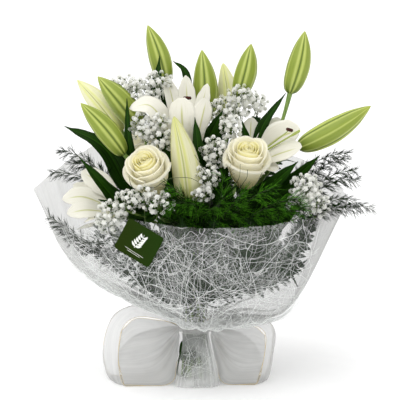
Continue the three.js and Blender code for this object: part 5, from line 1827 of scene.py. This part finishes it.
# %% Card
CARD, tree, shader = material("green_printed_card", Roughness=0.6, Specular_IOR_Level=0.06)
place = add(tree, "TexCoord", output="Object")
tag_low, tag_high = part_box("tag_card")
rightwards = add(tree, "SeparateXYZ", None, place, output="X")
grain = add(tree, "TexNoise", Vector=place, Scale=400.0, Detail=3.0)  # paper's clouds of 2.5 mm
ink = painted(
    tree, "#1f2e00",
    ("#193202", rightwards, tag_low.x, tag_high.x),
    ("#2a3c06", add(tree, "Math", MULTIPLY, grain, 0.2)),
)
set_finish(tree, shader, ink, grain, 0.03)
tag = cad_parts["tag_card"]
tag.data.materials.clear()
tag.data.materials.append(CARD)
print("the tag wears", tag.data.materials[0].name)

# %% [markdown]
# The card carries a plain sprig and two thin lines, printed in white ink that stands a tenth of a millimetre
# proud. The ink could be part of the card's colour, but its edges are crisp, so each leaflet is a small flat
# blade. The card's own face gives the plane: which way it looks, which way is up on it, and where it is.

# %% Sprig printed on the card
CARD_TURN = math.radians(-33)
INK_PROUD = 0.1  # mm
LEAFLET = [(0, 0.1), (0.35, 0.9), (0.55, 1.0), (0.8, 0.6), (1, 0.05)]
RIB_SHAPE, LINE_SHAPE = [(0, 1), (1, 0.5)], [(0, 1), (1, 1)]
LINES = ((13, -15), (9, -17.5))  # half the length and the height of each line

WHITE_INK = speckled("white_ink", "#e6e8e0", "#f6f7f2", 0.5)
front_face = max((f for f in tag.data.polygons if f.normal.y < -0.2), key=lambda f: f.area)
out = front_face.normal.copy()
upward = (Vector((0, 0, 1)) - out * out.z).normalized()
level = upward.cross(out).normalized()
tag_centre = sum((v.co for v in tag.data.vertices), Vector()) / len(tag.data.vertices)
to_face = max((v.co - tag_centre).dot(out) for v in tag.data.vertices)
card_side = level * math.cos(CARD_TURN) + upward * math.sin(CARD_TURN)
card_up = upward * math.cos(CARD_TURN) - level * math.sin(CARD_TURN)


def on_card(x, y):
    """A place in mm from the card's middle, just proud of its face, in mm from the tie's axis."""
    p = tag_centre + (card_side * x + card_up * y) * MM + out * (to_face + INK_PROUD * MM)
    return (p - NECK) / MM


bm = bmesh.new()
rib = [on_card(-3, -9), on_card(0, 0), on_card(1, 8), on_card(0, 15)]
blade(bm, rib, 0.9, out, RIB_SHAPE, rows=12, across=2, cup=0)
for k in range(5):
    for sign in (-1, 1):
        x, y = -2.4 + 0.75 * k, -7 + 4.2 * k
        ends = [on_card(x, y), on_card(x + sign * 3.4, y + 1.8), on_card(x + sign * (7 - 0.7 * k), y + 5.2)]
        blade(bm, ends, 3.2, out, LEAFLET, rows=8, across=2, cup=0)
for half, height in LINES:
    ends = [on_card(-half, height), on_card(0, height), on_card(half, height)]
    blade(bm, ends, 0.5, out, LINE_SHAPE, rows=4, across=1, cup=0)
piece("sprig_print", bm, [WHITE_INK], "tag_card")

# %% [markdown]
# ## Sizes, and the end
# The box round every shown piece of the bouquet is measured, leaving out the table. No piece may pass
# the solid model by more than the fern's tips do.

# %% Sizes
low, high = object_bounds()
